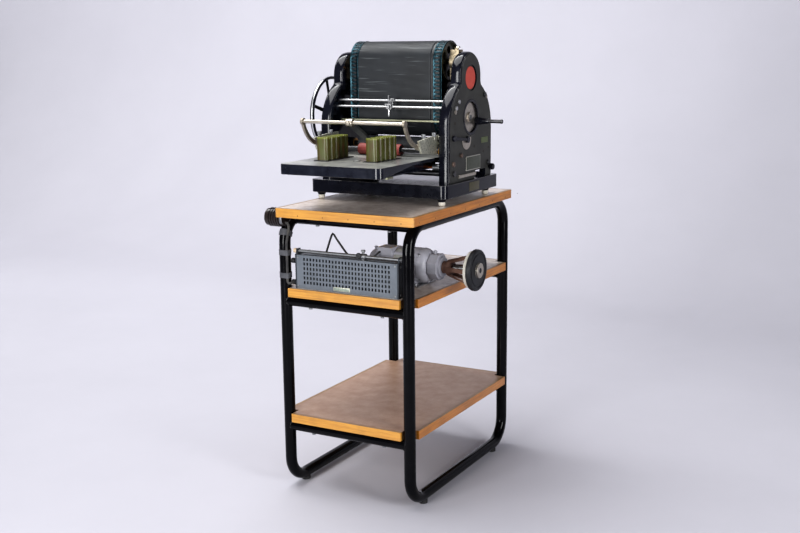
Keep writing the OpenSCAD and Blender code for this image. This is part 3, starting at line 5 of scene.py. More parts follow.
import json
import logging
import math
from collections.abc import Callable
from dataclasses import dataclass
from enum import Enum

import bmesh
import bpy
import numpy as np
from mathutils import Matrix, Vector


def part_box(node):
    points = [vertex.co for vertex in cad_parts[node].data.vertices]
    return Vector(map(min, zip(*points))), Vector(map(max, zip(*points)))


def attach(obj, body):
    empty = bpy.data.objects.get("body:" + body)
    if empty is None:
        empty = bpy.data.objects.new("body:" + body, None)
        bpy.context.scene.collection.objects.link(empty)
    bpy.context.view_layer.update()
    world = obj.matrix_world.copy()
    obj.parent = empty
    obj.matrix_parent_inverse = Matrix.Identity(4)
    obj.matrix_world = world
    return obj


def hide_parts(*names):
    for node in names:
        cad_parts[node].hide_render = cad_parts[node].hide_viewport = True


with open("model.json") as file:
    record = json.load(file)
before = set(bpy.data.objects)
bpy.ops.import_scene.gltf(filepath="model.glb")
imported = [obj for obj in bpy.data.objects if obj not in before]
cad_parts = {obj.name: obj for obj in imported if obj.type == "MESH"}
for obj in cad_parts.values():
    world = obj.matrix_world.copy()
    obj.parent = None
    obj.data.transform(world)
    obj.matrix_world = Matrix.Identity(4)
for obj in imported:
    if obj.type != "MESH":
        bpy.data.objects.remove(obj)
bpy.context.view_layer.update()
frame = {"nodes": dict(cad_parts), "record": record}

log = logging.getLogger("duplicator")
MM = 0.001
Colour = tuple[float, float, float, float]
Grid = np.ndarray
Test = Callable[[Grid, Grid], Grid]
MACHINE = np.array((-3.5, 43.5, 720.0))  # the machine's datum in the shared frame, mm
STAND = np.array((-27.5, 43.5, 0.0))  # the stand's datum


# Colours, nodes and finishes.


def srgb(code: str) -> Colour:
    """Turn an sRGB hex colour into the linear colour that a shader takes.

    Args:
        code: the colour as "#rrggbb".

    Returns:
        Linear red, green and blue, and an alpha of 1.
    """
    parts = [int(code[i : i + 2], 16) / 255 for i in (1, 3, 5)]
    linear = [c / 12.92 if c <= 0.04045 else ((c + 0.055) / 1.055) ** 2.4 for c in parts]
    return (*linear, 1.0)


def add(
    tree: bpy.types.NodeTree, kind: str, feeds: dict | None = None, out: int | str = 0, **settings: object
) -> bpy.types.NodeSocket | None:
    """Add one node with its settings and links.

    Args:
        tree: the node tree that gets the node.
        kind: the node's type, without its ShaderNode prefix.
        feeds: input name or number to a number, a hex colour, or the output that feeds it.
        out: name or number of the output that is wanted.
        settings: the node's own properties; stops is a ramp's two pairs of (place, hex colour).

    Returns:
        The wanted output, or None where the node has no output.
    """
    node = tree.nodes.new("ShaderNode" + kind)
    stops = settings.pop("stops", ())
    for key, value in settings.items():
        setattr(node, key, value)
    if stops:
        for mark, (place, code) in zip(node.color_ramp.elements, stops):
            mark.position = place
            mark.color = srgb(code)
    for key, value in (feeds or {}).items():
        if isinstance(value, bpy.types.NodeSocket):
            tree.links.new(value, node.inputs[key])
        else:
            node.inputs[key].default_value = srgb(value) if isinstance(value, str) else value
    return node.outputs[out] if node.outputs else None


class Axis(Enum):
    """The three axes of the shared frame."""

    X = 0
    Y = 1
    Z = 2


def rate(size_mm: float) -> float:
    """Scale of a pattern whose features have this size."""
    return 1 / (size_mm * MM)


def stretched(axis: Axis, along_mm: float, across_mm: float) -> tuple[float, float, float]:
    """Scales of a pattern drawn out along one axis, for features of this length and width."""
    scales = [rate(across_mm)] * 3
    scales[axis.value] = rate(along_mm)
    return tuple(scales)


@dataclass(frozen=True)
class Finish:
    """What every finish has: a name, and a way to feed a Principled shader."""

    name: str

    def dress(self, tree: bpy.types.NodeTree, place: bpy.types.NodeSocket) -> dict[str, object]:
        """Build the patterns.

        Args:
            tree: the material's node tree.
            place: the place on the piece, in metres.

        Returns:
            What feeds each of the shader's sockets.
        """
        raise NotImplementedError

    def material(self) -> bpy.types.Material:
        """Make the material once, and return it again when asked for it later."""
        made = bpy.data.materials.get(self.name)
        if not made:
            made = bpy.data.materials.new(self.name)
            made.use_nodes = True
            tree = made.node_tree
            tree.nodes.clear()
            feeds = self.dress(tree, add(tree, "TexCoord", out="Object"))
            add(tree, "OutputMaterial", {"Surface": add(tree, "BsdfPrincipled", feeds)})
        return made


@dataclass(frozen=True)
class Enamel(Finish):
    """Stoved or brushed enamel: an even colour with dust, soft orange peel and small chips to the metal."""

    colour: str
    dust: str
    bare: str = "#77736c"
    rough: float = 0.22
    peel_mm: float = 2.5
    peel: float = 0.06
    dust_mm: float = 26.0
    chip_mm: float = 4.0
    chips: float = 0.74
    shine: float = 0.25
    haze: float = 0.1

    def dress(self, tree: bpy.types.NodeTree, place: bpy.types.NodeSocket) -> dict[str, object]:
        """Mix dust over the paint, and bare metal where the chips are.

        Arguments and result are those of Finish.dress.
        """
        cloud = add(
            tree, "TexNoise", {"Vector": place, "Scale": rate(self.dust_mm), "Detail": 5.0, "Roughness": 0.62}
        )
        veil = add(tree, "MapRange", {"Value": cloud, "From Min": 0.42, "From Max": 0.78, "To Max": 0.85})
        paint = add(tree, "MixRGB", {"Fac": veil, "Color1": self.colour, "Color2": self.dust})
        flecks = add(
            tree, "TexNoise", {"Vector": place, "Scale": rate(self.chip_mm), "Detail": 3.0, "Roughness": 0.7}
        )
        chip = add(tree, "MapRange", {"Value": flecks, "From Min": self.chips, "From Max": self.chips + 0.02})
        low, high = self.rough, self.rough + self.haze
        span = {"Value": cloud, "From Min": 0.3, "From Max": 0.75, "To Min": low, "To Max": high}
        peel = add(tree, "TexNoise", {"Vector": place, "Scale": rate(self.peel_mm), "Detail": 2.0})
        return {
            "Base Color": add(tree, "MixRGB", {"Fac": chip, "Color1": paint, "Color2": self.bare}),
            "Roughness": add(tree, "MapRange", span),
            "Normal": add(tree, "Bump", {"Height": peel, "Strength": self.peel, "Distance": 0.0006}),
            "Specular IOR Level": self.shine,
        }


@dataclass(frozen=True)
class Steel(Finish):
    """Turned, drawn or plated metal: bright, with fine scratches along one axis and dull spots."""

    colour: str
    dull: str
    rough: float = 0.22
    grain_mm: float = 0.6
    grain: Axis = Axis.Z
    length_mm: float = 18.0
    spots_mm: float = 9.0
    tarnish: float = 0.5

    def dress(self, tree: bpy.types.NodeTree, place: bpy.types.NodeSocket) -> dict[str, object]:
        """Vary roughness along the scratches, and colour where the metal has dulled.

        Arguments and result are those of Finish.dress.
        """
        scales = stretched(self.grain, self.length_mm, self.grain_mm)
        drawn = add(tree, "Mapping", {"Vector": place, "Scale": scales})
        lines = add(tree, "TexNoise", {"Vector": drawn, "Scale": 1.0, "Detail": 3.0})
        spots = add(
            tree, "TexNoise", {"Vector": place, "Scale": rate(self.spots_mm), "Detail": 6.0, "Roughness": 0.7}
        )
        worn = add(
            tree, "MapRange", {"Value": spots, "From Min": 0.45, "From Max": 0.72, "To Max": self.tarnish}
        )
        low, high = self.rough, self.rough + 0.16
        span = {"Value": lines, "From Min": 0.3, "From Max": 0.7, "To Min": low, "To Max": high}
        gloss = add(tree, "MapRange", span)
        return {
            "Base Color": add(tree, "MixRGB", {"Fac": worn, "Color1": self.colour, "Color2": self.dull}),
            "Roughness": add(tree, "Math", {0: worn, 1: 0.3, 2: gloss}, operation="MULTIPLY_ADD"),
            "Normal": add(tree, "Bump", {"Height": lines, "Strength": 0.08, "Distance": 0.0003}),
            "Metallic": 1.0,
        }


@dataclass(frozen=True)
class Wood(Finish):
    """Sawn hardwood or beech strip: growth lines along one axis under a worn clear varnish."""

    light: str
    dark: str
    grain: Axis = Axis.X
    ring_mm: float = 3.2
    rough: float = 0.42

    def dress(self, tree: bpy.types.NodeTree, place: bpy.types.NodeSocket) -> dict[str, object]:
        """Lay long growth lines, short pores and broad stains over each other.

        Arguments and result are those of Finish.dress.
        """
        long = stretched(self.grain, self.ring_mm * 28, self.ring_mm)
        drawn = add(tree, "Mapping", {"Vector": place, "Scale": long})
        figure = {"Vector": drawn, "Scale": 1.0, "Detail": 5.0, "Roughness": 0.6, "Distortion": 0.5}
        stops = [(0.28, self.dark), (0.72, self.light)]
        ramp = add(tree, "ValToRGB", {"Fac": add(tree, "TexNoise", figure)}, stops=stops)
        fine = add(tree, "Mapping", {"Vector": place, "Scale": stretched(self.grain, 14.0, 0.5)})
        pores = add(tree, "TexNoise", {"Vector": fine, "Scale": 1.0, "Detail": 2.0})
        pits = add(tree, "MapRange", {"Value": pores, "From Min": 0.6, "From Max": 0.75, "To Max": 0.35})
        body = add(tree, "MixRGB", {"Fac": pits, "Color1": ramp, "Color2": self.dark})
        stain = add(tree, "TexNoise", {"Vector": place, "Scale": rate(45.0), "Detail": 4.0})
        dirt = add(tree, "MapRange", {"Value": stain, "From Min": 0.5, "From Max": 0.8, "To Max": 0.4})
        return {
            "Base Color": add(tree, "MixRGB", {"Fac": dirt, "Color1": body, "Color2": "#6e4a24"}),
            "Normal": add(tree, "Bump", {"Height": pores, "Strength": 0.12, "Distance": 0.0004}),
            "Roughness": self.rough,
            "Coat Weight": 0.35,
            "Coat Roughness": 0.3,
        }


@dataclass(frozen=True)
class Matte(Finish):
    """Rubber, linoleum, cloth tape or moulded plastic: dull, clouded, with a fine grain."""

    colour: str
    second: str
    rough: float = 0.6
    cloud_mm: float = 18.0
    grain_mm: float = 1.2
    grain: float = 0.15
    gloss: float = 0.5

    def dress(self, tree: bpy.types.NodeTree, place: bpy.types.NodeSocket) -> dict[str, object]:
        """Cloud two colours into each other and roughen the surface.

        Arguments and result are those of Finish.dress.
        """
        clouds = {"Vector": place, "Scale": rate(self.cloud_mm), "Detail": 7.0, "Roughness": 0.65}
        cloud = add(tree, "TexNoise", clouds)
        grain = add(tree, "TexNoise", {"Vector": place, "Scale": rate(self.grain_mm), "Detail": 3.0})
        return {
            "Base Color": add(
                tree, "ValToRGB", {"Fac": cloud}, stops=[(0.35, self.colour), (0.68, self.second)]
            ),
            "Normal": add(tree, "Bump", {"Height": grain, "Strength": self.grain, "Distance": 0.0005}),
            "Roughness": self.rough,
            "Specular IOR Level": self.gloss,
        }


@dataclass(frozen=True)
class Cloth(Finish):
    """Inked screen cloth: charcoal, with soft light streaks along the drum and a fine weave."""

    colour: str
    second: str
    streak: str
    streak_mm: float = 5.0
    thread_mm: float = 0.9

    def dress(self, tree: bpy.types.NodeTree, place: bpy.types.NodeSocket) -> dict[str, object]:
        """Lay streaks along X over a clouded ground; the weave is drawn coarser than the cloth's own 0.2 mm.

        Arguments and result are those of Finish.dress.
        """
        cloud = add(tree, "TexNoise", {"Vector": place, "Scale": rate(70.0), "Detail": 4.0})
        ground = add(tree, "ValToRGB", {"Fac": cloud}, stops=[(0.35, self.colour), (0.7, self.second)])
        drawn = add(tree, "Mapping", {"Vector": place, "Scale": stretched(Axis.X, 130.0, self.streak_mm)})
        lines = add(tree, "TexNoise", {"Vector": drawn, "Scale": 1.0, "Detail": 3.0, "Roughness": 0.55})
        mask = add(tree, "MapRange", {"Value": lines, "From Min": 0.6, "From Max": 0.8, "To Max": 0.5})
        weave = add(tree, "TexNoise", {"Vector": place, "Scale": rate(self.thread_mm), "Detail": 1.0})
        return {
            "Base Color": add(tree, "MixRGB", {"Fac": mask, "Color1": ground, "Color2": self.streak}),
            "Normal": add(tree, "Bump", {"Height": weave, "Strength": 0.2, "Distance": 0.0003}),
            "Roughness": 0.5,
            "Specular IOR Level": 0.35,
        }


@dataclass(frozen=True)
class Ribbed(Finish):
    """Olive enamel worn to brown in streaks that run down, with a painted yellow-green highlight at its top.
    """

    colour: str
    worn: str
    top_highlight: str = "#7a8036"
    top_mm: float = 885.0

    def dress(self, tree: bpy.types.NodeTree, place: bpy.types.NodeSocket) -> dict[str, object]:
        """Streak the colour downwards, and paint a highlight along the top few millimetres.

        Arguments and result are those of Finish.dress.
        """
        drawn = add(tree, "Mapping", {"Vector": place, "Scale": stretched(Axis.Z, 40.0, 5.0)})
        streaks = add(tree, "TexNoise", {"Vector": drawn, "Scale": 1.0, "Detail": 5.0, "Roughness": 0.65})
        worn = add(tree, "MapRange", {"Value": streaks, "From Min": 0.47, "From Max": 0.62, "To Max": 0.85})
        olive = add(tree, "MixRGB", {"Fac": worn, "Color1": self.colour, "Color2": self.worn})
        up = add(tree, "SeparateXYZ", {0: place}, out="Z")
        # Painted highlight: the top few millimetres turn a brighter yellow-green.
        low, high = (self.top_mm - 5) * MM, (self.top_mm - 1) * MM
        height = add(tree, "MapRange", {"Value": up, "From Min": low, "From Max": high, "To Max": 0.8})
        return {
            "Base Color": add(tree, "MixRGB", {"Fac": height, "Color1": olive, "Color2": self.top_highlight}),
            "Normal": add(tree, "Bump", {"Height": streaks, "Strength": 0.3, "Distance": 0.0008}),
            "Roughness": 0.34,
        }


# Deep black with one thin bright line down each tube.
TUBE_ENAMEL = Enamel(
    "gloss_black_stove_enamel_tube", "#040406", "#0a0a0e", rough=0.08, chips=0.76, shine=0.16
)
# Liquid blue-black with soft broad highlights over orange peel.
CAST_ENAMEL = Enamel(
    "gloss_black_japanned_cast_iron", "#101119", "#1b1d27", rough=0.08, peel_mm=4.0, peel=0.08, shine=0.3
)
# Navy sheet, a shade lighter than the castings.
TABLE_ENAMEL = Enamel("gloss_navy_enamel_sheet", "#171922", "#272a34", rough=0.1, chips=0.76, shine=0.4)
# Even lavender grey with a soft sheen on the round shell.
MOTOR_PAINT = Enamel("satin_grey_machine_paint", "#a0a0a9", "#85858b", rough=0.34, peel=0.2, shine=0.5)
# Blue-grey hammered skin whose dents break up the light.
RESISTOR_PAINT = Enamel(
    "hammered_blue_grey_paint", "#646a72", "#555b62", rough=0.34, peel_mm=3.0, peel=0.35, shine=0.4
)
# Dull dark grey that frames the lighter housing.
PLATE_PAINT = Enamel("dark_grey_paint_end_plate", "#2c3036", "#454a50", rough=0.45)
# Worn satin black, greyer where dust lies.
PULLEY_PAINT = Enamel("satin_black_paint_pulley", "#1c1c1f", "#303236", rough=0.4)
# Rust showing brown through the last of the paint.
SPIDER_PAINT = Enamel("rusty_brown_cast_spider", "#5f463c", "#7f6559", rough=0.5)
# Olive with brown streaks running down and a painted highlight along the top edge.
OLIVE_PAINT = Ribbed("olive_enamel_guides", "#494d1f", "#473213")
# Olive-black in the drum's open ends.
DRUM_PAINT = Enamel("olive_black_drum_enamel", "#26251c", "#3f3c2c", rough=0.18, shine=0.5)
# Pale casting with dark oily patches.
CREAM_PAINT = Steel("worn_cast_bracket", "#b3a68e", "#3d3429", rough=0.34, spots_mm=7.0, tarnish=1.0)
# White lines of light along each rod.
BRIGHT_STEEL = Steel("bright_drawn_steel_rod", "#c9cacc", "#7d7b77", grain=Axis.X)
# Warm nickel, cloudy where it has worn.
PLATED = Steel("worn_nickel_plate", "#c6bfb4", "#8f8679", rough=0.24, grain=Axis.X, grain_mm=2.0)
# Oily grey between light tooth tips.
GEAR_STEEL = Steel("oiled_cut_gear_steel", "#8d8f92", "#4c4a46", rough=0.34, grain=Axis.X)
# Blue-green glint on nearly black steel.
BAND_STEEL = Steel("blued_spring_steel_band", "#2b4047", "#10181d", rough=0.24, spots_mm=14.0, tarnish=0.8)
# Dull gold at the shafts' ends.
BRONZE = Steel("dull_bearing_bronze", "#a98049", "#5f4a2c", rough=0.4)
# A red-brown streak under the table.
COPPER = Steel("dull_copper_shaft", "#b3683f", "#6d432c", rough=0.34, grain=Axis.X)
# Pale, speckled sand-cast skin.
CAST_ALUMINIUM = Steel("sand_cast_aluminium", "#cdcdbf", "#6f6f63", rough=0.4, spots_mm=4.0, tarnish=0.9)
# Dark bars with one soft line of light.
DARK_STEEL = Steel("dark_oiled_steel", "#5a5a5c", "#2a2a2b", rough=0.25, grain=Axis.X)
# Grey zinc that never flashes.
DULL_SCREW = Steel("dull_zinc_screw", "#8d8f92", "#5a5a58", rough=0.4)
# Honey yellow strip with long brown growth lines.
BEECH_STRIP = Wood("varnished_beech_strip", "#cd9840", "#a26c26")
# The same strip walked grey on its upper face.
BEECH_TOP = Wood("worn_beech_strip_top", "#9c7c50", "#6f5433", rough=0.5)
# Plain board seen only from below.
PLYWOOD = Wood("plain_plywood_board", "#b08a5e", "#7d5c38", rough=0.6)
# Grey-brown sheet with pale clouds, painted paler as painted light and painted reflection of the backdrop.
LINOLEUM = Matte("brown_linoleum_painted_light", "#a8988e", "#d6ccc4", rough=0.34, cloud_mm=22.0)
# Redder and darker sheet of the low shelf.
LOW_LINOLEUM = Matte("brown_linoleum_of_low_shelf", "#8f6f5a", "#a58a76", rough=0.4, cloud_mm=40.0)
# Flat black without a highlight.
BLACK_RUBBER = Matte("black_rubber", "#161617", "#242425", rough=0.62)
# Chalky off-white tips that stand out under the base.
PALE_RUBBER = Matte("pale_crepe_rubber", "#dcd8ce", "#bdb7a8", rough=0.7, cloud_mm=6.0)
# Faded brick red, dull all round.
RED_RUBBER = Matte("red_feed_rubber", "#9c4a44", "#7d3833", rough=0.6)
# Smooth mid grey roller behind the table.
GREY_RUBBER = Matte("grey_impression_rubber", "#3c3e42", "#505358", rough=0.5)
# Black with the wet sheen of ink.
INK_RUBBER = Matte("inked_black_rubber", "#17181a", "#26272a", rough=0.35)
# Brown-black with a sharp highlight on each rib.
BAKELITE = Matte("brown_black_bakelite", "#1b1615", "#2b2321", rough=0.28, cloud_mm=8.0, grain=0.04)
# Neutral black mouldings and foot plates.
BLACK_PLASTIC = Matte("satin_black_moulding", "#1d1e20", "#2a2b2e", rough=0.4, grain=0.05)
# Winding behind the grille's holes, painted greenish black as painted shade.
SHADED_WINDING = Matte("wire_winding_painted_shade", "#191a17", "#3d3f35", rough=0.4)
# Dull grey bands round the leg.
TAPE = Matte("cotton_insulating_tape", "#3f4045", "#55565a", rough=0.85)
# Braided lead, mottled dark and light.
FLEX = Matte("braided_cotton_flex", "#26262a", "#4f4d49", rough=0.8, cloud_mm=40.0)
# Charcoal cloth with faint streaks along the drum.
SCREEN = Cloth("inked_screen_cloth", "#14171b", "#1f2328", "#8e9496")
# Off-white rim on the pulley's back.
PALE_RING = Matte("pale_friction_ring", "#c8c5bd", "#a5a197", rough=0.6)
# Deeper orange on the strips that run front to back.
BEECH_SIDE = Wood("varnished_beech_strip_front_to_back", "#bf7d24", "#874c10", grain=Axis.Y)
# Small dark dots: filler over the strips' pins, and painted shade for holes in the right face.
DARK_FILLER_AND_HOLE_SHADE = Matte("dark_pin_filler_and_painted_hole_shade", "#1c1712", "#2a221a", rough=0.8)
# Small yellow glints on pins, screws and knobs.
BRASS = Steel("dull_brass", "#c2a058", "#7d6334", rough=0.3)
# Soft grey metal left bare.
PLATE_FACE = Matte("etched_aluminium_plate", "#8c8e8c", "#a2a39f", rough=0.45, cloud_mm=6.0)
# Greenish grey strip on the resistor.
PALE_PLATE = Matte("pale_lacquered_plate", "#7b867d", "#929c8f", rough=0.45, cloud_mm=5.0)
# Yellowed knob at the guide rod's end.
CREAM_KNOB = Matte("yellowed_casein_knob", "#d8c6ae", "#b59f84", rough=0.4, cloud_mm=5.0)
# Flat charcoal face inside the glossy rim.
CAST_FACE = Enamel("matte_charcoal_cast_face", "#323231", "#41413f", rough=0.5, chips=0.8, peel=0.2)
# A clear red ring at the feed roller's end.
RED_RING = Matte("red_rubber_ring", "#c0303a", "#8f2028", rough=0.35)
# Grey top with large pale worn clouds.
TABLE_TOP = Enamel(
    "worn_grey_table_top", "#7d7e7d", "#bdbdb4",
    bare="#b5b1a6", rough=0.26, dust_mm=60.0, chips=0.68, shine=0.5,
)
# Brownish steel with broad dull patches.
WORN_STRAP = Steel("worn_brown_steel_strap", "#a69f93", "#5b5145", rough=0.36, spots_mm=14.0, tarnish=0.8)
# Dark finger that separates it from the pale rod.
FINGER_PAINT = Enamel("dark_grooved_finger", "#2f3133", "#4c4d4c", rough=0.4)
# Brick red cap brushed by hand.
RED_ENAMEL = Enamel("red_brushed_cap", "#a8463c", "#b8564a", rough=0.45, dust_mm=12.0, chips=0.8)
# Thin bright border of the dark plate.
PLATE_EDGE = Steel("bright_plate_border", "#c3c2b8", "#8a887c", rough=0.3, spots_mm=4.0)
# Olive-black plate face.
PLATE_DARK = Matte("dark_olive_plate_face", "#33362f", "#44483f", rough=0.4, cloud_mm=5.0)
# Small green plate on the charcoal face.
OLIVE_PLATE = Matte("small_olive_plate", "#4f5a36", "#3d452b", rough=0.4, cloud_mm=5.0)
# Brownish plate, barely lighter than the base.
BROWN_PLATE = Matte("yellowish_brown_plate", "#39372a", "#4a4632", rough=0.45, cloud_mm=5.0)
# Two brown studs with rust on them.
RUSTY_STUD = Steel("rusty_brown_stud", "#85756c", "#54423b", rough=0.45, tarnish=0.8)
# Greenish pale bar below the rods.
GUIDE_BAR = Steel("greenish_brass_bar", "#9d9e88", "#56584a", rough=0.3, grain=Axis.X)
# A black stripe between cloth and band.
SCREEN_EDGE = Matte("black_screen_selvedge", "#101114", "#1b1d21", rough=0.4)
# Lighter lines on the broken edges: paint rubbed thin at the corners, and a painted highlight along every
# edge.
WORN_EDGE_HIGHLIGHT = Enamel(
    "enamel_worn_edges_painted_highlight", "#24252a", "#5c5a56", rough=0.2, dust_mm=14.0, chips=0.62, shine=0.5
)
# Painted shade: near black on the housing's inner faces and the grille's back, behind the holes.
PAINTED_SHADE_INSIDE = Matte("painted_shade_inside", "#0b0b0c", "#151516", rough=0.7)

# The finish of every CAD node, also of those that a piece of this script replaces.
NODES_BY_FINISH: dict[Finish, str] = {
    TUBE_ENAMEL: "loop_tubes loop_bends cross_tubes",
    BLACK_RUBBER: "floor_pads motor_lead",
    PLYWOOD: "boards",
    BEECH_STRIP: "edging_strips",
    LINOLEUM: "linoleum_sheets",
    DULL_SCREW: "shelf_screws resistor_guide_rod",
    BRIGHT_STEEL: "motor_bedplate motor_shaft main_shaft guide_rods rod_holder",
    MOTOR_PAINT: "motor_body motor_caps motor_terminal_box",
    SPIDER_PAINT: "drive_spider",
    PULLEY_PAINT: "drive_pulley",
    PALE_RING: "pulley_ring",
    RESISTOR_PAINT: "resistor_housing resistor_grille",
    PLATE_PAINT: "resistor_end_plates",
    SHADED_WINDING: "resistor_core",
    BLACK_PLASTIC: "resistor_slider resistor_terminals",
    BAKELITE: "mains_inlet",
    TAPE: "lead_straps",
    FLEX: "mains_flex",
    CAST_ENAMEL: "machine_base foot_sockets left_side_frame right_side_frame "
    "crank_disc flywheel impression_lever clamp_knob",
    PALE_RUBBER: "foot_tips",
    DARK_STEEL: "tie_bars crank_grip",
    BRONZE: "shaft_bushes",
    DRUM_PAINT: "lower_drum upper_drum",
    CREAM_PAINT: "upper_brackets",
    SCREEN: "screen_belt",
    BAND_STEEL: "edge_bands",
    GEAR_STEEL: "drive_gear",
    GREY_RUBBER: "impression_roller",
    INK_RUBBER: "ink_roller",
    RED_RUBBER: "feed_roller",
    PLATED: "hub_plate face_fittings feed_bail",
    TABLE_ENAMEL: "feed_table table_rails",
    COPPER: "table_shafts",
    CAST_ALUMINIUM: "bail_cheeks",
    OLIVE_PAINT: "left_side_guide right_side_guide",
}
NODE_FINISHES = {node: finish for finish, nodes in NODES_BY_FINISH.items() for node in nodes.split()}


def dress_nodes() -> None:
    """Give every CAD node its finish."""
    for node, finish in NODE_FINISHES.items():
        mesh = frame["nodes"][node].data
        mesh.materials.clear()
        mesh.materials.append(finish.material())


# Shapes, all in millimetres.


@dataclass
class Shell:
    """Vertices, and quads between them."""

    points: Grid
    quads: Grid


def woven(points: Grid) -> Shell:
    """Join a grid of points into quads; a closed form repeats its first row or column at the end.

    Args:
        points: rows by columns by 3.

    Returns:
        The shell, whose repeated and collapsed points are merged when it becomes a mesh.
    """
    rows, cols = points.shape[:2]
    corner = np.arange(rows * cols).reshape(rows, cols)
    quads = np.stack([corner[:-1, :-1], corner[:-1, 1:], corner[1:, 1:], corner[1:, :-1]], -1)
    return Shell(points.reshape(-1, 3), quads.reshape(-1, 4))


def ring(count: int, start: float = 0.0) -> tuple[Grid, Grid]:
    """Cosines and sines once round a circle, with the first repeated last."""
    angle = np.linspace(0, 2 * math.pi, count + 1) + start
    return np.cos(angle), np.sin(angle)


def arc_about(first: float, second: float, radius: float, angle: Grid) -> Grid:
    """Points at these angles on a circle about (first, second)."""
    return np.stack([first + radius * np.cos(angle), second + radius * np.sin(angle)], 1)


def placed(axis: Axis, along: Grid, first: Grid, second: Grid) -> Grid:
    """Points from what they measure along an axis and along the two axes that follow it."""
    parts = np.broadcast_arrays(along, first, second)
    return np.stack([parts[(i - axis.value) % 3] for i in range(3)], -1)


def lathe(profile: list | Grid, centre: tuple, axis: Axis = Axis.X, steps: int = 48) -> Shell:
    """Turn a profile round an axis.

    A point at (along, radius) goes to centre + along on the axis + radius at each angle round it.

    Args:
        profile: points of (along, radius); a solid ends at radius 0, a ring repeats its first point.
        centre: the place of (0, 0).
        axis: the axis that it turns about.
        steps: sides of the circle.

    Returns:
        The turned shell.
    """
    line = np.asarray(profile, float)
    cos, sin = ring(steps)
    return woven(placed(axis, line[:, :1], line[:, 1:] * cos, line[:, 1:] * sin) + np.asarray(centre, float))


def rounded(points: list | Grid, radius: float, steps: int = 4) -> Grid:
    """Replace each inner corner of an open line by an arc-like curve.

    The curve is the quadratic one between two points that lie radius away from the corner on its two legs.

    Args:
        points: the points of the line.
        radius: how far from a corner its curve starts; never more than just under half a leg.
        steps: pieces of each curve.

    Returns:
        The points of the rounded line.
    """
    line = np.asarray(points, float)
    corner = line[1:-1]
    into, out = line[:-2] - corner, line[2:] - corner
    into_length = np.linalg.norm(into, axis=1)
    out_length = np.linalg.norm(out, axis=1)
    reach = np.minimum(np.minimum(into_length, out_length) * 0.499, radius)[:, None]
    a = corner + into / into_length[:, None] * reach
    b = corner + out / out_length[:, None] * reach
    t = np.linspace(0, 1, steps + 1)[None, :, None]
    bends = (1 - t) ** 2 * a[:, None] + 2 * t * (1 - t) * corner[:, None] + t**2 * b[:, None]
    return np.vstack([line[:1], bends.reshape(-1, line.shape[1]), line[-1:]])


def loop_outline(corners: list | Grid, radius: float, steps: int = 5) -> Grid:
    """Round every corner of a closed outline and repeat its first point at the end."""
    line = np.asarray(corners, float)
    middle = (line[:1] + line[-1:]) / 2
    return rounded(np.vstack([middle, line, middle]), radius, steps)


def inset(outline: Grid, by: float) -> Grid:
    """Move each point of a closed outline inwards along the mean of its two edges' normals.

    Args:
        outline: closed points, either way round.
        by: how far each edge moves.

    Returns:
        The smaller outline.
    """
    open_line = outline[:-1]
    after = np.roll(open_line, -1, 0)
    edge = after - open_line
    edge = edge / np.maximum(np.linalg.norm(edge, axis=1, keepdims=True), 1e-9)
    area = np.sum(open_line[:, 0] * after[:, 1] - after[:, 0] * open_line[:, 1])
    normal = np.stack([-edge[:, 1], edge[:, 0]], 1) * np.sign(area)
    mean = normal + np.roll(normal, 1, 0)
    mean /= np.maximum(np.sum(mean**2, 1, keepdims=True), 1e-9) / 2
    moved = open_line + by * mean
    return np.vstack([moved, moved[:1]])


def slab(
    outline: Grid, low: float, high: float, axis: Axis = Axis.Z, edge: float = 0.6, hub: Grid | None = None
) -> Shell:
    """Raise a closed outline into a plate with rounded edges, closed by fans to one inner point.

    Each level is the outline moved inwards by edge times 1, 0.3 or 0, so the edge is a soft quarter round.

    Args:
        outline: closed points on the two axes that follow the given one.
        low: start along the axis.
        high: end along the axis.
        axis: the plate's normal.
        edge: size of the rounded edge.
        hub: the inner point that sees the whole outline; its middle if not given.

    Returns:
        The plate.
    """
    flat = np.tile(outline[:-1].mean(0) if hub is None else hub, (len(outline), 1))
    steps = ((edge, 0.0), (0.3 * edge, 0.3 * edge), (0.0, edge))
    rise = [(low + up, inset(outline, by)) for by, up in steps]
    fall = [(high - up, inset(outline, by)) for by, up in reversed(steps)]
    rows = [(low, flat), *rise, *fall, (high, flat)]
    lines = np.stack([line for _, line in rows])
    return woven(placed(axis, np.array([[at] for at, _ in rows]), lines[..., 0], lines[..., 1]))


def block(low: tuple, high: tuple, edge: float = 0.8) -> Shell:
    """A box with rounded edges between two corners."""
    (x0, y0, z0), (x1, y1, z1) = low, high
    corners = [(x0, y0), (x1, y0), (x1, y1), (x0, y1)]
    return slab(loop_outline(corners, edge * 1.5, 3), z0, z1, Axis.Z, edge)


def along(path: Grid, section: Grid) -> Shell:
    """Carry a closed section along an open path, and close both ends by fans to their middle.

    The section's second axis starts along X and is carried from point to point without twist.

    Args:
        path: points of the path.
        section: closed outline in the plane across the path.

    Returns:
        The closed shell.
    """
    tangent = np.gradient(path, axis=0)
    tangent /= np.linalg.norm(tangent, axis=1, keepdims=True)
    ups = np.empty_like(path)
    up = np.array((1.0, 0.0, 0.0))
    for i, t in enumerate(tangent):
        up = up - up.dot(t) * t
        up = up / np.linalg.norm(up)
        ups[i] = up
    rights = np.cross(tangent, ups)
    out = path[:, None] + section[None, :, :1] * rights[:, None] + section[None, :, 1:] * ups[:, None]
    return fanned(out)


def fanned(rows: Grid) -> Shell:
    """Weave rows of closed sections, with a fan to the middle of the first and of the last."""
    first, last = (np.broadcast_to(rows[i, :-1].mean(0), rows[i].shape)[None] for i in (0, -1))
    return woven(np.concatenate([first, rows, last]))


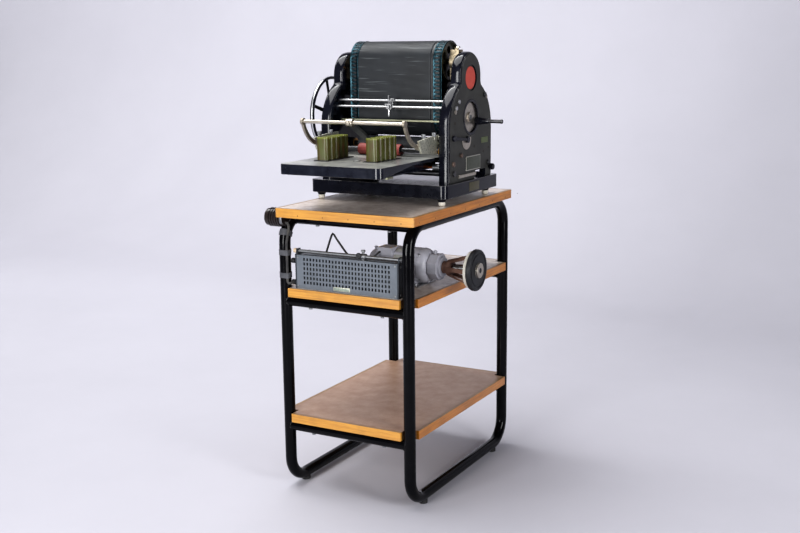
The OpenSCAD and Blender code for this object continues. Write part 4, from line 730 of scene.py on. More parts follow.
def make_piece(
    name: str,
    shells: list[Shell],
    finish: Finish,
    like: str,
    crease_deg: float = 38.0,
    stands_for: tuple = (),
) -> bpy.types.Object:
    """Put shells into one mesh, merge their seams, turn their faces outwards and hand the piece to its body.

    Args:
        name: the piece's name.
        shells: its shells, in millimetres.
        finish: its finish.
        like: the CAD node whose body and material slot it takes.
        crease_deg: edges sharper than this stay sharp in the shading.
        stands_for: CAD nodes that it replaces.

    Returns:
        The piece.
    """
    starts = np.cumsum([0] + [len(s.points) for s in shells])
    points = np.vstack([s.points for s in shells]) * MM
    quads = np.vstack([s.quads + start for s, start in zip(shells, starts)])
    mesh = bpy.data.meshes.new(name)
    mesh.vertices.add(len(points))
    mesh.vertices.foreach_set("co", points.astype(np.float32).ravel())
    mesh.loops.add(quads.size)
    mesh.loops.foreach_set("vertex_index", quads.astype(np.int32).ravel())
    mesh.polygons.add(len(quads))
    mesh.polygons.foreach_set("loop_start", np.arange(0, quads.size, 4, dtype=np.int32))
    mesh.update()
    work = bmesh.new()
    work.from_mesh(mesh)
    bmesh.ops.remove_doubles(work, verts=work.verts, dist=1e-6)
    bmesh.ops.dissolve_degenerate(work, edges=work.edges, dist=1e-7)
    bmesh.ops.recalc_face_normals(work, faces=work.faces)
    work.to_mesh(mesh)
    work.free()
    return settle(mesh, finish, body_of(like), crease_deg, stands_for)


def settle(
    mesh: bpy.types.Mesh, finish: Finish, body: str, crease_deg: float, stands_for: tuple
) -> bpy.types.Object:
    """Shade a mesh, dress it, and let it ride on its body in place of the nodes it stands for.

    Args:
        mesh: the mesh, in metres, in the shared frame.
        finish: its finish.
        body: the CAD body that it rides on.
        crease_deg: edges sharper than this stay sharp in the shading.
        stands_for: CAD nodes that it replaces.

    Returns:
        The piece.
    """
    mesh.shade_smooth()
    mesh.set_sharp_from_angle(angle=math.radians(crease_deg))
    mesh.materials.clear()
    mesh.materials.append(finish.material())
    piece = bpy.data.objects.new(mesh.name, mesh)
    bpy.context.scene.collection.objects.link(piece)
    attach(piece, body)
    if stands_for:
        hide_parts(*stands_for)
    log.info("%s rides on %s", mesh.name, body)
    return piece


def body_of(node: str) -> str:
    """The body that holds a CAD node."""
    bodies = frame["record"]["behaviour"]["bodies"]
    return next(body for body, members in bodies.items() if node in members)


Rules = list[tuple[Finish, Test]] | tuple


def painted(
    node: str,
    edge_mm: float,
    rules: Rules = (),
    steps: int = 2,
    crease_deg: float = 30.0,
    worn: Finish | None = None,
) -> bpy.types.Object:
    """Stand a merged copy in a CAD node's place, its sharp edges broken as a file or a mould leaves them.

    Each face takes the finish of the last rule that holds for it, or else the node's own.

    Args:
        node: the CAD node.
        edge_mm: size of the broken edge.
        rules: finishes, each with a test of face centres, in millimetres, and face normals.
        steps: facets across an edge.
        crease_deg: only edges sharper than this are broken.
        worn: the finish of the broken edges, if not that of the faces beside them; a lighter one paints a
            highlight there.

    Returns:
        The copy.
    """
    mesh = frame["nodes"][node].data.copy()
    mesh.name = node + "_rounded"
    work = bmesh.new()
    work.from_mesh(mesh)
    bmesh.ops.remove_doubles(work, verts=work.verts, dist=2e-6)
    bmesh.ops.dissolve_limit(work, angle_limit=math.radians(0.4), verts=work.verts, edges=work.edges)
    work.to_mesh(mesh)
    work.free()
    piece = settle(mesh, NODE_FINISHES[node], body_of(node), crease_deg, (node,))
    rim = piece.modifiers.new("broken_edges", "BEVEL")
    rim.width = edge_mm * MM
    rim.segments = steps
    rim.limit_method = "ANGLE"
    rim.angle_limit = math.radians(crease_deg)
    rim.harden_normals = True
    if worn:
        mesh.materials.append(worn.material())
        rim.material = len(mesh.materials) - 1
    if rules:
        paint_faces(mesh, rules)
    return piece


def paint_faces(mesh: bpy.types.Mesh, rules: Rules) -> None:
    """Give each face of a mesh the finish of the last rule that holds for it."""
    centres, normals = (np.empty(len(mesh.polygons) * 3, np.float32) for _ in range(2))
    mesh.polygons.foreach_get("center", centres)
    mesh.polygons.foreach_get("normal", normals)
    which = np.zeros(len(mesh.polygons), np.int32)
    for finish, holds in rules:
        mesh.materials.append(finish.material())
        which[holds(centres.reshape(-1, 3) / MM, normals.reshape(-1, 3))] = len(mesh.materials) - 1
    mesh.polygons.foreach_set("material_index", which)


def near(y: float, z: float, reach: float) -> Test:
    """A test for faces within a distance of a line along X through (y, z) on the machine."""
    centre = MACHINE[1:] + (y, z)
    return lambda places, normals: np.hypot(*(places[:, 1:] - centre).T) < reach


def outline(radius: float, sides: int = 40, turn_deg: float = 0.0, swell: float = 0.0, ribs: int = 0) -> Grid:
    """A closed outline about (0, 0) at radius * (1 + swell * cosine of ribs times the angle)."""
    cos, sin = ring(sides, math.radians(turn_deg))
    angle = np.linspace(0, 2 * math.pi, sides + 1)
    reach = radius * (1 + swell * np.cos(ribs * angle))
    return np.stack([cos * reach, sin * reach], 1)


def raised(shape: Grid, place: tuple, axis: Axis, rise: float, edge: float = 0.4) -> Shell:
    """Raise an outline about (0, 0) from a seat, along an axis or, with a negative rise, against it."""
    low, high = sorted((place[axis.value], place[axis.value] + rise))
    seat = np.array([place[(axis.value + 1) % 3], place[(axis.value + 2) % 3]])
    return slab(shape + seat, low, high, axis, edge, seat + shape[:-1].mean(0))


@dataclass(frozen=True)
class SlottedScrew:
    """A cheese head with a driver's slot: a disc with two halves of a disc on it, a slot's width apart."""

    radius: float = 4.0
    height: float = 2.4
    slot: float = 1.0

    def shells(self, place: tuple, axis: Axis = Axis.X, way: int = 1, turn_deg: float = 25.0) -> list[Shell]:
        """Build the head on its seat.

        Each half runs on a circle, from the angle whose sine is half a slot over the radius to its mirror.

        Args:
            place: middle of the seat.
            axis: the screw's axis.
            way: 1 if the head looks along the axis, -1 if against it.
            turn_deg: turn of the slot.

        Returns:
            The disc and the two halves.
        """
        start = math.asin(self.slot / 2 / self.radius)
        turn = math.radians(turn_deg)
        parts = [raised(outline(self.radius, 28), place, axis, way * self.height * 0.55, 0.25)]
        for half in (0, math.pi):
            angle = np.linspace(start, math.pi - start, 15) + turn + half
            arc = arc_about(0, 0, self.radius, angle)
            parts.append(raised(np.vstack([arc, arc[:1]]), place, axis, way * self.height, 0.35))
        return parts


@dataclass(frozen=True)
class HexBolt:
    """A six-sided head on a washer, its corners taken off by a chamfer."""

    radius: float = 5.0
    height: float = 4.0
    washer: float = 6.5

    def shells(self, place: tuple, axis: Axis = Axis.X, way: int = 1, turn_deg: float = 10.0) -> list[Shell]:
        """Build washer and head on a seat; the arguments are those of a slotted screw."""
        flat = raised(outline(self.washer, 32), place, axis, way * 1.2, 0.3)
        return [flat, raised(outline(self.radius, 6, turn_deg), place, axis, way * (1.0 + self.height), 0.7)]


@dataclass(frozen=True)
class KnurledScrew:
    """A thumb screw: a ribbed head on a smooth collar."""

    radius: float = 5.5
    height: float = 7.0
    ribs: int = 20

    def shells(self, place: tuple, axis: Axis = Axis.X, way: int = 1) -> list[Shell]:
        """Build collar and head on a seat; the arguments are those of a slotted screw."""
        collar = raised(outline(self.radius * 0.7, 28), place, axis, way * 2.2, 0.3)
        seat = list(place)
        seat[axis.value] += way * 2.0
        grip = outline(self.radius, self.ribs * 6, 0, 0.035, self.ribs)
        return [collar, raised(grip, tuple(seat), axis, way * self.height, 0.5)]


@dataclass
class Stand:
    """The two tube loops with their cross tubes, welded where tube meets tube."""

    loop_x: float = 170.0
    leg_y: float = 265.0
    tube_r: float = 14.0
    cross_r: float = 12.5
    shelf_cross_z: tuple[float, float] = (483.5, 165.5)
    top_cross: tuple[float, float] = (225.52, 680.38)
    bend_deg: float = 20.0
    bead_r: float = 2.0

    def bead(self, side: int, y: float, z: float, lean_deg: float) -> Shell:
        """The weld bead on the saddle curve between a cross tube and a loop.

        At angle a round the cross tube the saddle lies cross_r * (cos a, sin a) off its axis. There the loop's
        side stands away from the loop's middle by the root of tube_r squared less the square of that offset's
        part across the loop. The bead is a ring round that curve, and its radius swells and shrinks as the
        weld was laid.

        Args:
            side: -1 for the left loop, 1 for the right one.
            y: the cross tube's place from the stand's middle.
            z: its height.
            lean_deg: lean of the loop's tube there, away from upright.

        Returns:
            The bead.
        """
        a, b = np.meshgrid(np.linspace(0, 2 * math.pi, 97), np.linspace(0, 2 * math.pi, 9), indexing="ij")
        lean = math.radians(lean_deg)
        off = self.cross_r * np.cos(a - lean)
        stand_off = np.sqrt(self.tube_r**2 - off**2)
        size = self.bead_r * (1 + 0.16 * np.sin(22 * a) + 0.08 * np.sin(5 * a + side))
        reach = self.cross_r + size * np.cos(b) * 0.8
        x = side * (self.loop_x - stand_off - size * np.sin(b))
        out = np.stack([x, y + reach * np.cos(a), z + reach * np.sin(a)], -1)
        return woven(out + STAND)

    def build(self) -> None:
        """Lay all twelve beads."""
        beads = []
        for side in (-1, 1):
            for end in (-1, 1):
                beads += [self.bead(side, end * self.leg_y, z, 0.0) for z in self.shelf_cross_z]
                y, z = self.top_cross
                beads.append(self.bead(side, end * y, z, 90 + end * -self.bend_deg))
        make_piece("cross_tube_welds", beads, TUBE_ENAMEL, "cross_tubes")


@dataclass
class Shelving:
    """Table and shelves: boards edged with beech strip, linoleum on top."""

    edging: float = 8.0
    pin_r: float = 1.3
    table: tuple[float, float, float, float] = (-214.5, -284.5, 189.5, 325.5)
    pin_z: float = 705.0
    shelves_below: float = 600.0

    def along_y(self, places: Grid, normals: Grid) -> Grid:
        """Whether a face belongs to a strip that runs front to back."""
        shelf = places[:, 2] < self.shelves_below
        front = np.where(shelf, places[shelf, 1].min(), self.table[1])
        back = np.where(shelf, places[shelf, 1].max(), self.table[3])
        return (places[:, 1] > front + self.edging + 0.2) & (places[:, 1] < back - self.edging - 0.2)

    def build(self) -> None:
        """Turn the grain along each strip, and set the pins that hold the strips."""
        rules = [(BEECH_SIDE, self.along_y), (BEECH_TOP, lambda places, normals: normals[:, 2] > 0.9)]
        painted("edging_strips", 0.9, rules)
        # The upper sheets carry painted light; the low shelf's sheet is darker and redder.
        painted("linoleum_sheets", 0.4, [(LOW_LINOLEUM, lambda places, normals: places[:, 2] < 300)], 1)
        x0, y0, x1, y1 = self.table
        front = [((x, y0 + 0.3, self.pin_z), Axis.Y, -0.5) for x in np.linspace(x0 + 30, x1 - 30, 6)]
        right = [((x1 - 0.3, y, self.pin_z), Axis.X, 0.5) for y in np.linspace(y0 + 30, y1 - 30, 8)]
        pins = [raised(outline(self.pin_r, 12), *seat, 0.15) for seat in front + right]
        make_piece("edging_pins", pins, DARK_FILLER_AND_HOLE_SHADE, "shelf_screws")


@dataclass
class Motor:
    """The loose drive motor: bolts, oil cups, a bare plate and a seam round its shell."""

    axis_y: float = -48.5
    axis_z: float = 564.5
    shell_r: float = 43.0
    x0: float = -35.5
    x1: float = 114.5
    lug_circle: float = 40.0
    plate_x: tuple[float, float] = (28.0, 74.0)
    plate_deg: tuple[float, float] = (112.0, 158.0)

    def lug(self, deg: float) -> tuple[float, float]:
        """Middle of a through bolt's lug on the Y and Z axes."""
        a = math.radians(deg)
        return self.axis_y + self.lug_circle * math.cos(a), self.axis_z + self.lug_circle * math.sin(a)

    def curved_plate(self, radius: float, thick: float, margin: float) -> Shell:
        """A closed patch that lies on the shell.

        Args:
            radius: the shell's radius.
            thick: how proud the patch stands.
            margin: how far it stays inside the plate's limits.

        Returns:
            The patch.
        """
        x0, x1 = self.plate_x[0] + margin, self.plate_x[1] - margin
        turn = math.degrees(margin / radius)
        a = np.radians(np.linspace(self.plate_deg[0] + turn, self.plate_deg[1] - turn, 13))
        arc = np.stack([np.cos(a), np.sin(a)], 1)
        section = np.vstack([arc * (radius + thick), arc[::-1] * radius])
        section = np.vstack([section, section[:1]])
        middle = np.tile(section.mean(0), (len(section), 1))
        rows = np.stack([middle, section, section, middle]) + (self.axis_y, self.axis_z)
        return woven(placed(Axis.X, np.array([[x0], [x0], [x1], [x1]]), rows[..., 0], rows[..., 1]))

    def build(self) -> None:
        """Soften the castings and add what is bolted on."""
        painted("motor_body", 1.5, steps=3)
        painted("motor_caps", 1.5, steps=3)
        painted("motor_terminal_box", 1.6, steps=3)
        painted("motor_bedplate", 0.5)
        r = self.shell_r
        bead = [(0, r - 1), (-1.6, r - 1), (-1.2, r + 0.5), (1.2, r + 0.5), (1.6, r - 1), (0, r - 1)]
        seams = [lathe(bead, (x, self.axis_y, self.axis_z), Axis.X, 72) for x in (self.x0 + 24, self.x1 - 22)]
        make_piece("motor_shell_seams", seams, MOTOR_PAINT, "motor_body")
        bolts = []
        for deg in (45, 135, 225, 315):
            y, z = self.lug(deg)
            bolts += HexBolt(4.6, 3.4, 5.6).shells((self.x1 - 22, y, z), Axis.X, 1, deg)
            bolts += HexBolt(4.6, 3.4, 5.6).shells((self.x0 + 30, y, z), Axis.X, -1, deg + 12)
        for x in (-15.5, 88.5):
            for y in (self.axis_y - 40, self.axis_y + 40):
                bolts += HexBolt(5.0, 3.6, 6.4).shells((x, y, 521), Axis.Z, 1, x + y)
        make_piece("motor_bolts", bolts, DULL_SCREW, "motor_body")
        cup = [(0, 0), (0, 3.6), (4, 3.6), (4.4, 4.4), (7.5, 4.4), (8.6, 3.4), (9.4, 1.8), (9.6, 0)]
        seats = [(x, self.axis_y, self.axis_z + up) for x, up in ((self.x0 - 7, 29.0), (self.x1 + 9, 30.5))]
        cups = [lathe(cup, seat, Axis.Z, 24) for seat in seats]
        make_piece("motor_oil_cups", cups, MOTOR_PAINT, "motor_body")
        make_piece("motor_plate_rim", [self.curved_plate(r, 0.8, 0.0)], PLATED, "motor_bedplate")
        make_piece("motor_plate_face", [self.curved_plate(r, 1.0, 2.4)], PLATE_FACE, "motor_bedplate")
        corners = [(x, y, 608) for x in (-11.5, 20.5) for y in (-85.5, -61.5)]
        lid = [raised(outline(2.2, 20), corner, Axis.Z, 1.2, 0.3) for corner in corners]
        make_piece("terminal_box_screws", lid, BRASS, "motor_body")


@dataclass
class Drive:
    """The pulley on its rusty spider: a pale friction ring, a bright hub ring and a black nut."""

    axis: tuple[float, float] = (-48.5, 564.5)
    hub_r: float = 18.0

    def build(self) -> None:
        """Soften the castings and turn the hub's ring and nut."""
        painted("drive_spider", 1.0)
        painted("pulley_ring", 0.6)
        hub_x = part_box("drive_pulley")[1][0] / MM

        def hub(places: Grid, normals: Grid) -> Grid:
            """Whether a face belongs to the hub, which stands proud of the pulley's face."""
            close = np.hypot(places[:, 1] - self.axis[0], places[:, 2] - self.axis[1]) < self.hub_r + 0.2
            return close & (places[:, 0] > hub_x - 4.5)

        painted("drive_pulley", 0.7, [(PLATED, hub)])
        nut = [(hub_x - back, r) for back, r in ((1.8, 0), (1.8, 13.5), (0.4, 13.5), (0.1, 12.5), (0.1, 0))]
        make_piece("pulley_nut", [lathe(nut, (0, *self.axis), Axis.X, 40)], PULLEY_PAINT, "drive_pulley")


@dataclass
class Resistor:
    """The slide resistor: perforated front, screws, a bare plate, and a cap and a nut on its guide rod."""

    front_y: float = -226.5
    x0: float = -165.5
    x1: float = 119.5
    low_z: float = 518.0
    high_z: float = 600.0
    rod: tuple[float, float] = (-214.5, 608.0)
    plate: tuple[float, float, float, float] = (-58.0, 520.8, -12.0, 530.6)

    def inside(self, places: Grid, normals: Grid) -> Grid:
        """Whether a face looks into the housing."""
        back = (normals[:, 1] < -0.5) & (places[:, 1] > self.front_y + 20)
        floor = (normals[:, 2] > 0.5) & (places[:, 2] < self.low_z + 10)
        roof = (normals[:, 2] < -0.5) & (places[:, 2] > self.high_z - 10)
        return back | floor | roof

    def slider(self) -> None:
        """Clamp the slider on its rod: a split collar, a brush under it and a ringed black knob in front."""
        lo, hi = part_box("resistor_slider")
        x = (lo[0] + hi[0]) / 2 / MM
        y, z = self.rod
        node = "resistor_slider"
        collar = [(-8, 4.2), (-8, 6.2), (-7, 7.0), (7, 7.0), (8, 6.2), (8, 4.2), (-8, 4.2)]
        brush = block((x - 3, y - 3, lo[2] / MM), (x + 3, y + 3, z - 5), 0.4)
        clamp = [lathe(collar, (x, y, z), Axis.X, 36), brush]
        make_piece("slider_collar", clamp, DULL_SCREW, node, stands_for=(node,))
        knob = [(0, 0), (0, 6.0), (-0.8, 6.8), (-3.4, 6.8), (-4.2, 6.0), (-4.2, 3.4), (-3.2, 2.8), (-3.2, 0)]
        make_piece("slider_knob", [lathe(knob, (x - 8, y - 6.6, z + 3), Axis.Y, 36)], BLACK_PLASTIC, node)
        stem = raised(outline(3.0, 24), (x, y, z + 6.4), Axis.Z, 9.0, 0.5)
        head = raised(outline(5.0, 40, 0, 0.05, 10), (x, y, z + 11), Axis.Z, 5.0, 0.5)
        make_piece("slider_screw", [stem, head], DULL_SCREW, node)

    def build(self) -> None:
        """Soften the sheets and add screws, plate and nuts."""
        painted("resistor_end_plates", 0.5)
        self.slider()
        painted("resistor_terminals", 0.6)
        # The housing's inner faces and the grille's back are painted near black as painted shade.
        painted("resistor_housing", 0.6, [(PAINTED_SHADE_INSIDE, self.inside)])
        painted("resistor_grille", 0.3, [(PAINTED_SHADE_INSIDE, lambda places, normals: normals[:, 1] > 0.5)], 1)
        node = "resistor_guide_rod"
        screws = []
        for x in (self.x0 + 8, self.x1 - 9):
            for z in (self.low_z + 6, self.high_z - 6):
                screws += SlottedScrew(2.6, 1.4, 0.7).shells((x, self.front_y, z), Axis.Y, -1, x + z)
        for x, way in ((self.x0, -1), (self.x1, 1)):
            for y in (-218.0, -172.0):
                for z in (526.0, 592.0):
                    screws += SlottedScrew(2.8, 1.6, 0.8).shells((x, y, z), Axis.X, way, y + z)
        make_piece("resistor_screws", screws, DULL_SCREW, node)
        cap = [(-176.5, 0), (-176.5, 3.0), (-175.5, 5.2), (-171.0, 6.2)]
        cap += [(-166.5, 5.6), (-165.6, 4.2), (-165.6, 0)]
        make_piece("guide_rod_cap", [lathe(cap, (0, *self.rod), Axis.X, 28)], CREAM_KNOB, node)
        nut = HexBolt(5.0, 2.6, 6.0).shells((self.x1, *self.rod), Axis.X, 1, 0)
        make_piece("guide_rod_nut", nut, DULL_SCREW, node)
        x0, z0, x1, z1 = self.plate
        y = self.front_y
        rim = block((x0, y - 0.5, z0), (x1, y, z1), 0.2)
        face = block((x0 + 1.4, y - 0.7, z0 + 1.4), (x1 - 1.4, y, z1 - 1.4), 0.1)
        make_piece("resistor_plate_rim", [rim], CAST_ALUMINIUM, node)
        make_piece("resistor_plate_face", [face], PALE_PLATE, node)


@dataclass
class Inlet:
    """The ribbed mains inlet with brass pins, and the clip that holds it on the tube."""

    axis: tuple[float, float] = (-218.5, 687.0)

    def pins(self, places: Grid, normals: Grid) -> Grid:
        """Whether a face belongs to one of the two contact pins."""
        off = np.abs(places[:, 1] - self.axis[0])
        inside = np.hypot(off - 7, places[:, 2] - self.axis[1]) < 2.6
        return inside & (places[:, 0] < -225)

    def build(self) -> None:
        """Round the ribs, gild the pins and clip the inlet on."""
        painted("mains_inlet", 0.5, [(BRASS, self.pins)])
        y, z = self.axis
        angle = np.linspace(math.radians(-30), math.radians(210), 30)
        path = np.stack([np.full(30, -194.8), y + 23.6 * np.cos(angle), z + 23.6 * np.sin(angle)], 1)
        strip = loop_outline([(-0.6, -3.5), (0.6, -3.5), (0.6, 3.5), (-0.6, 3.5)], 0.4, 2)
        make_piece("inlet_clip", [along(path, strip)], DULL_SCREW, "resistor_guide_rod")


@dataclass
class SideFrames:
    """The cast side frames: matte machined faces inside glossy rims, and the screws of the right face."""

    face_x: float = 178.0
    feet_y: tuple[float, float] = (-137.0, 103.0)
    foot_x: float = 167.5
    arch_r: float = 117.0
    arch_z: float = 175.0
    dome_r: float = 54.0
    dome_z: float = 299.0
    neck_r: float = 16.0
    fillet_y: float = 70.0
    fillet_z: float = 288.1
    rim_x: float = 163.0
    rim_half: float = 12.6
    bulge: float = 3.4

    def rim(self, side: int) -> Shell:
        """The half-round rim that runs round a frame's outline from foot to foot.

        Its left half is a leg, the arch to the point where the neck's fillet touches it, the fillet and the
        dome; the right half mirrors it. The section is half an ellipse, at s as high as bulge times the root
        of 1 - s squared.

        Args:
            side: -1 for the left frame, 1 for the right one.

        Returns:
            The rim.
        """
        reach = math.hypot(self.fillet_y, self.fillet_z - self.arch_z)
        touch = math.acos(self.fillet_y / reach)
        arch = np.linspace(math.pi, math.pi - touch, 24)
        fillet = np.linspace(-touch, 0, 8)
        dome = np.linspace(math.pi, math.pi / 2, 22)
        left = np.vstack([
            np.stack([np.full(8, -self.arch_r), np.linspace(50, self.arch_z - 6, 8)], 1),
            arc_about(0, self.arch_z, self.arch_r, arch),
            arc_about(-self.fillet_y, self.fillet_z, self.neck_r, fillet),
            arc_about(0, self.dome_z, self.dome_r, dome),
        ])
        line = np.vstack([left, left[-2::-1] * (-1, 1)])
        path = np.column_stack([np.full(len(line), side * self.rim_x), line]) + MACHINE
        s = np.linspace(-1, 1, 17)
        bulge = np.stack([-self.bulge * np.sqrt(1 - s**2), s * self.rim_half], 1)
        section = np.vstack([bulge, [(0.8, self.rim_half), (0.8, -self.rim_half)], bulge[:1]])
        return along(path, section)

    def feet(self) -> None:
        """Turn the feet: a black cone under the base and a pale rounded tip."""
        cone = [(10.4, 0), (10.4, 8.2), (11.4, 9.0), (15.0, 10.6), (18.2, 12.6)]
        cone += [(18.2, 6.0), (44, 6.0), (44, 0)]
        tip = [(0, 0), (0, 4.2), (0.8, 6.0), (2.6, 7.6), (5.4, 8.4)]
        tip += [(8.2, 8.2), (10.2, 7.0), (10.8, 5.0), (10.8, 0)]
        places = [tuple(MACHINE + (x, y, 0)) for x in (-self.foot_x, self.foot_x) for y in self.feet_y]
        turned = (
            ("turned_foot_cones", cone, CAST_ENAMEL, "foot_sockets"),
            ("rounded_foot_tips", tip, PALE_RUBBER, "foot_tips"),
        )
        for name, line, finish, node in turned:
            feet = [lathe(line, place, Axis.Z, 36) for place in places]
            make_piece(name, feet, finish, node, stands_for=(node,))

    def build(self) -> None:
        """Dress both castings and drive the screws of the right face."""
        # Broken edges of frames and base take the lighter edge finish: wear and a painted highlight.
        for node, way in (("right_side_frame", 1), ("left_side_frame", -1)):
            rules = [(CAST_FACE, lambda places, normals, way=way: normals[:, 0] * way > 0.9)]
            painted(node, 1.6, rules, 3, worn=WORN_EDGE_HIGHLIGHT)
        painted("machine_base", 1.2, steps=3, worn=WORN_EDGE_HIGHLIGHT)
        make_piece("frame_rims", [self.rim(-1), self.rim(1)], CAST_ENAMEL, "right_side_frame", 50)
        self.feet()
        x, y0, z0 = MACHINE + (self.face_x, 0, 0)
        plate = [(y, z, 1.5, 0.9) for z in (75, 104) for y in (-31, 49)]
        screws: list[Shell] = []
        for y, z, r, high in [(-86, 216, 5.0, 1.8), (86, 246, 4.4, 1.8)] + plate:
            screws += SlottedScrew(r, high, r * 0.22).shells((x, y0 + y, z0 + z), Axis.X, 1, y * 7 + z)
        make_piece("right_face_screws", screws, PLATED, "face_fittings")
        # Flat dark discs stand for holes in the right face: painted shade.
        hole_shades = [
            raised(outline(r, 20), (x - 0.2, y0 + y, z0 + z), Axis.X, 0.35, 0.1)
            for y, z, r in ((-88, 190, 3.6), (18, 128, 3.0), (70, 112, 3.2), (100, 120, 3.0))
        ]
        make_piece("right_face_painted_hole_shade", hole_shades, DARK_FILLER_AND_HOLE_SHADE, "face_fittings")


@dataclass
class Screen:
    """The ink screen on its two drums, between two perforated steel bands with rolled edges."""

    lower_z: float = 920.0
    upper_z: float = 1052.5
    y: float = 43.5
    cloth_r: float = 49.1
    band_r: float = 49.95
    band_w: float = 24.0
    bands_x: tuple[float, float] = (-135.5, 96.5)
    rungs: int = 64
    hole_w: float = 12.0

    def track(self, radius: float, count: int) -> tuple[Grid, Grid]:
        """Points round both drums and the outward normals there.

        The path is two half circles about the drums' axes and the straights between them. The points divide
        its length evenly.

        Args:
            radius: radius of the half circles.
            count: number of points.

        Returns:
            The points and the normals, on the Y and Z axes.
        """
        gap = self.upper_z - self.lower_z
        half = math.pi * radius
        run = np.linspace(0, 2 * (gap + half), count + 1)
        up = run < gap
        over = (run >= gap) & (run < gap + half)
        down = (run >= gap + half) & (run < 2 * gap + half)
        where = [up, over, down]
        angle = np.select(where, [np.pi, np.pi - (run - gap) / radius, 0], -(run - 2 * gap - half) / radius)
        heights = [self.lower_z + run, self.upper_z, self.upper_z - (run - gap - half)]
        centre_z = np.select(where, heights, self.lower_z)
        normal = np.stack([np.cos(angle), np.sin(angle)], 1)
        return np.stack([self.y + radius * normal[:, 0], centre_z + radius * normal[:, 1]], 1), normal

    def band(self, x0: float) -> Shell:
        """A band's sheet: rolled up at both edges, with a hole left out of its middle at every rung.

        Args:
            x0: its left edge.

        Returns:
            The open sheet.
        """
        steps = self.rungs * 4
        points, normal = self.track(self.band_r, steps)
        margin = (self.band_w - self.hole_w) / 2
        half = np.array([0, 0.7, 1.6, 2.4, margin])
        cols = np.concatenate([half, self.band_w - half[::-1]])
        lift = np.array([-0.3, 0.35, 0.35, 0, 0, 0, 0, 0.35, 0.35, -0.3])
        sheet = points[:, None] + lift[None, :, None] * normal[:, None]
        shell = woven(placed(Axis.X, x0 + cols, sheet[..., 0], sheet[..., 1]))
        row, col = np.divmod(np.arange(len(shell.quads)), len(cols) - 1)
        open_place = (col == 4) & (row % 4 >= 2)
        return Shell(shell.points, shell.quads[~open_place])

    def cloth(self, x0: float, x1: float) -> Shell:
        """The cloth, slack by a few tenths of a millimetre in long soft ripples across the path.

        Args:
            x0: its left edge.
            x1: its right edge.

        Returns:
            The open sheet.
        """
        steps = 288
        points, normal = self.track(self.cloth_r, steps)
        x = np.linspace(x0, x1, 41)
        run = np.arange(steps + 1)[:, None] / steps * 2 * math.pi
        ripple = 0.22 * np.sin(11 * run + 1.3) + 0.12 * np.sin(29 * run + 0.05 * x)
        sheet = points[:, None] + ripple[..., None] * normal[:, None]
        return woven(placed(Axis.X, x, sheet[..., 0], sheet[..., 1]))

    def build(self) -> None:
        """Stretch cloth and bands round the drums in place of the plain ones."""
        belt, edges = "screen_belt", "edge_bands"
        left, right = self.bands_x
        seam = right - 5.5
        cloth = make_piece("screen_cloth", [self.cloth(left + 6, seam)], SCREEN, belt, 60, (belt,))
        selvedge = make_piece("screen_selvedge", [self.cloth(seam, right + 18)], SCREEN_EDGE, belt, 60)
        rims = [self.band(left), self.band(right)]
        bands = make_piece("perforated_bands", rims, BAND_STEEL, edges, 60, (edges,))
        for piece, thick in ((cloth, 0.4), (selvedge, 0.4), (bands, 0.5)):
            sheet = piece.modifiers.new("thickness", "SOLIDIFY")
            sheet.thickness = thick * MM
            sheet.offset = -1.0


@dataclass
class UpperBrackets:
    """Bearing brackets of the upper drum: worn cream castings with a tension bolt and a brass knob."""

    def build(self) -> None:
        """Soften the castings and put bolt, nut and knob on each."""
        painted("upper_brackets", 1.2, steps=3)
        profile = [(0, 0), (0, 3.2), (3, 3.2), (3.6, 6.0), (8.5, 6.0), (9.6, 4.6), (9.6, 0)]
        bolts, knobs = [], []
        x, y, z = MACHINE
        for side in (-1, 1):
            inner = x + side * 137.5
            bolts += HexBolt(5.2, 3.2, 7.0).shells((x + side * 143.5, y - 2, z + 364.5), Axis.Z, 1, 15)
            for off, turn_deg in ((-9, 40), (9, -30)):
                seat = (inner + side * 2.5, y + off, z + 306)
                bolts += SlottedScrew(3.4, 2.2, 0.9).shells(seat, Axis.X, -side, turn_deg)
            knobs.append(lathe(profile, (inner - side * 1.0, y - 20, z + 318), Axis.X, 28))
        make_piece("bracket_bolts", bolts, PLATED, "upper_brackets")
        make_piece("bracket_knobs", knobs, BRASS, "shaft_bushes")


@dataclass
class Rollers:
    """Impression and feed rollers with their shafts."""

    def build(self) -> None:
        """Give steel shafts, rubber and the red end ring their finishes."""

        def shaft(node: str) -> Test:
            """A test for faces on the thin shaft of a roller."""
            lo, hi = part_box(node)
            y, z = (lo[1] + hi[1]) / 2 / MM, (lo[2] + hi[2]) / 2 / MM
            return lambda places, normals: np.hypot(places[:, 1] - y, places[:, 2] - z) < 7.2

        def red_end(places: Grid, normals: Grid) -> Grid:
            """Whether a face is on the right end of the feed roller."""
            return (normals[:, 0] > 0.6) & (places[:, 0] > 30)

        painted("feed_roller", 0.8, [(RED_RING, red_end), (DARK_STEEL, shaft("feed_roller"))])
        painted("impression_roller", 0.8, [(DARK_STEEL, shaft("impression_roller"))])


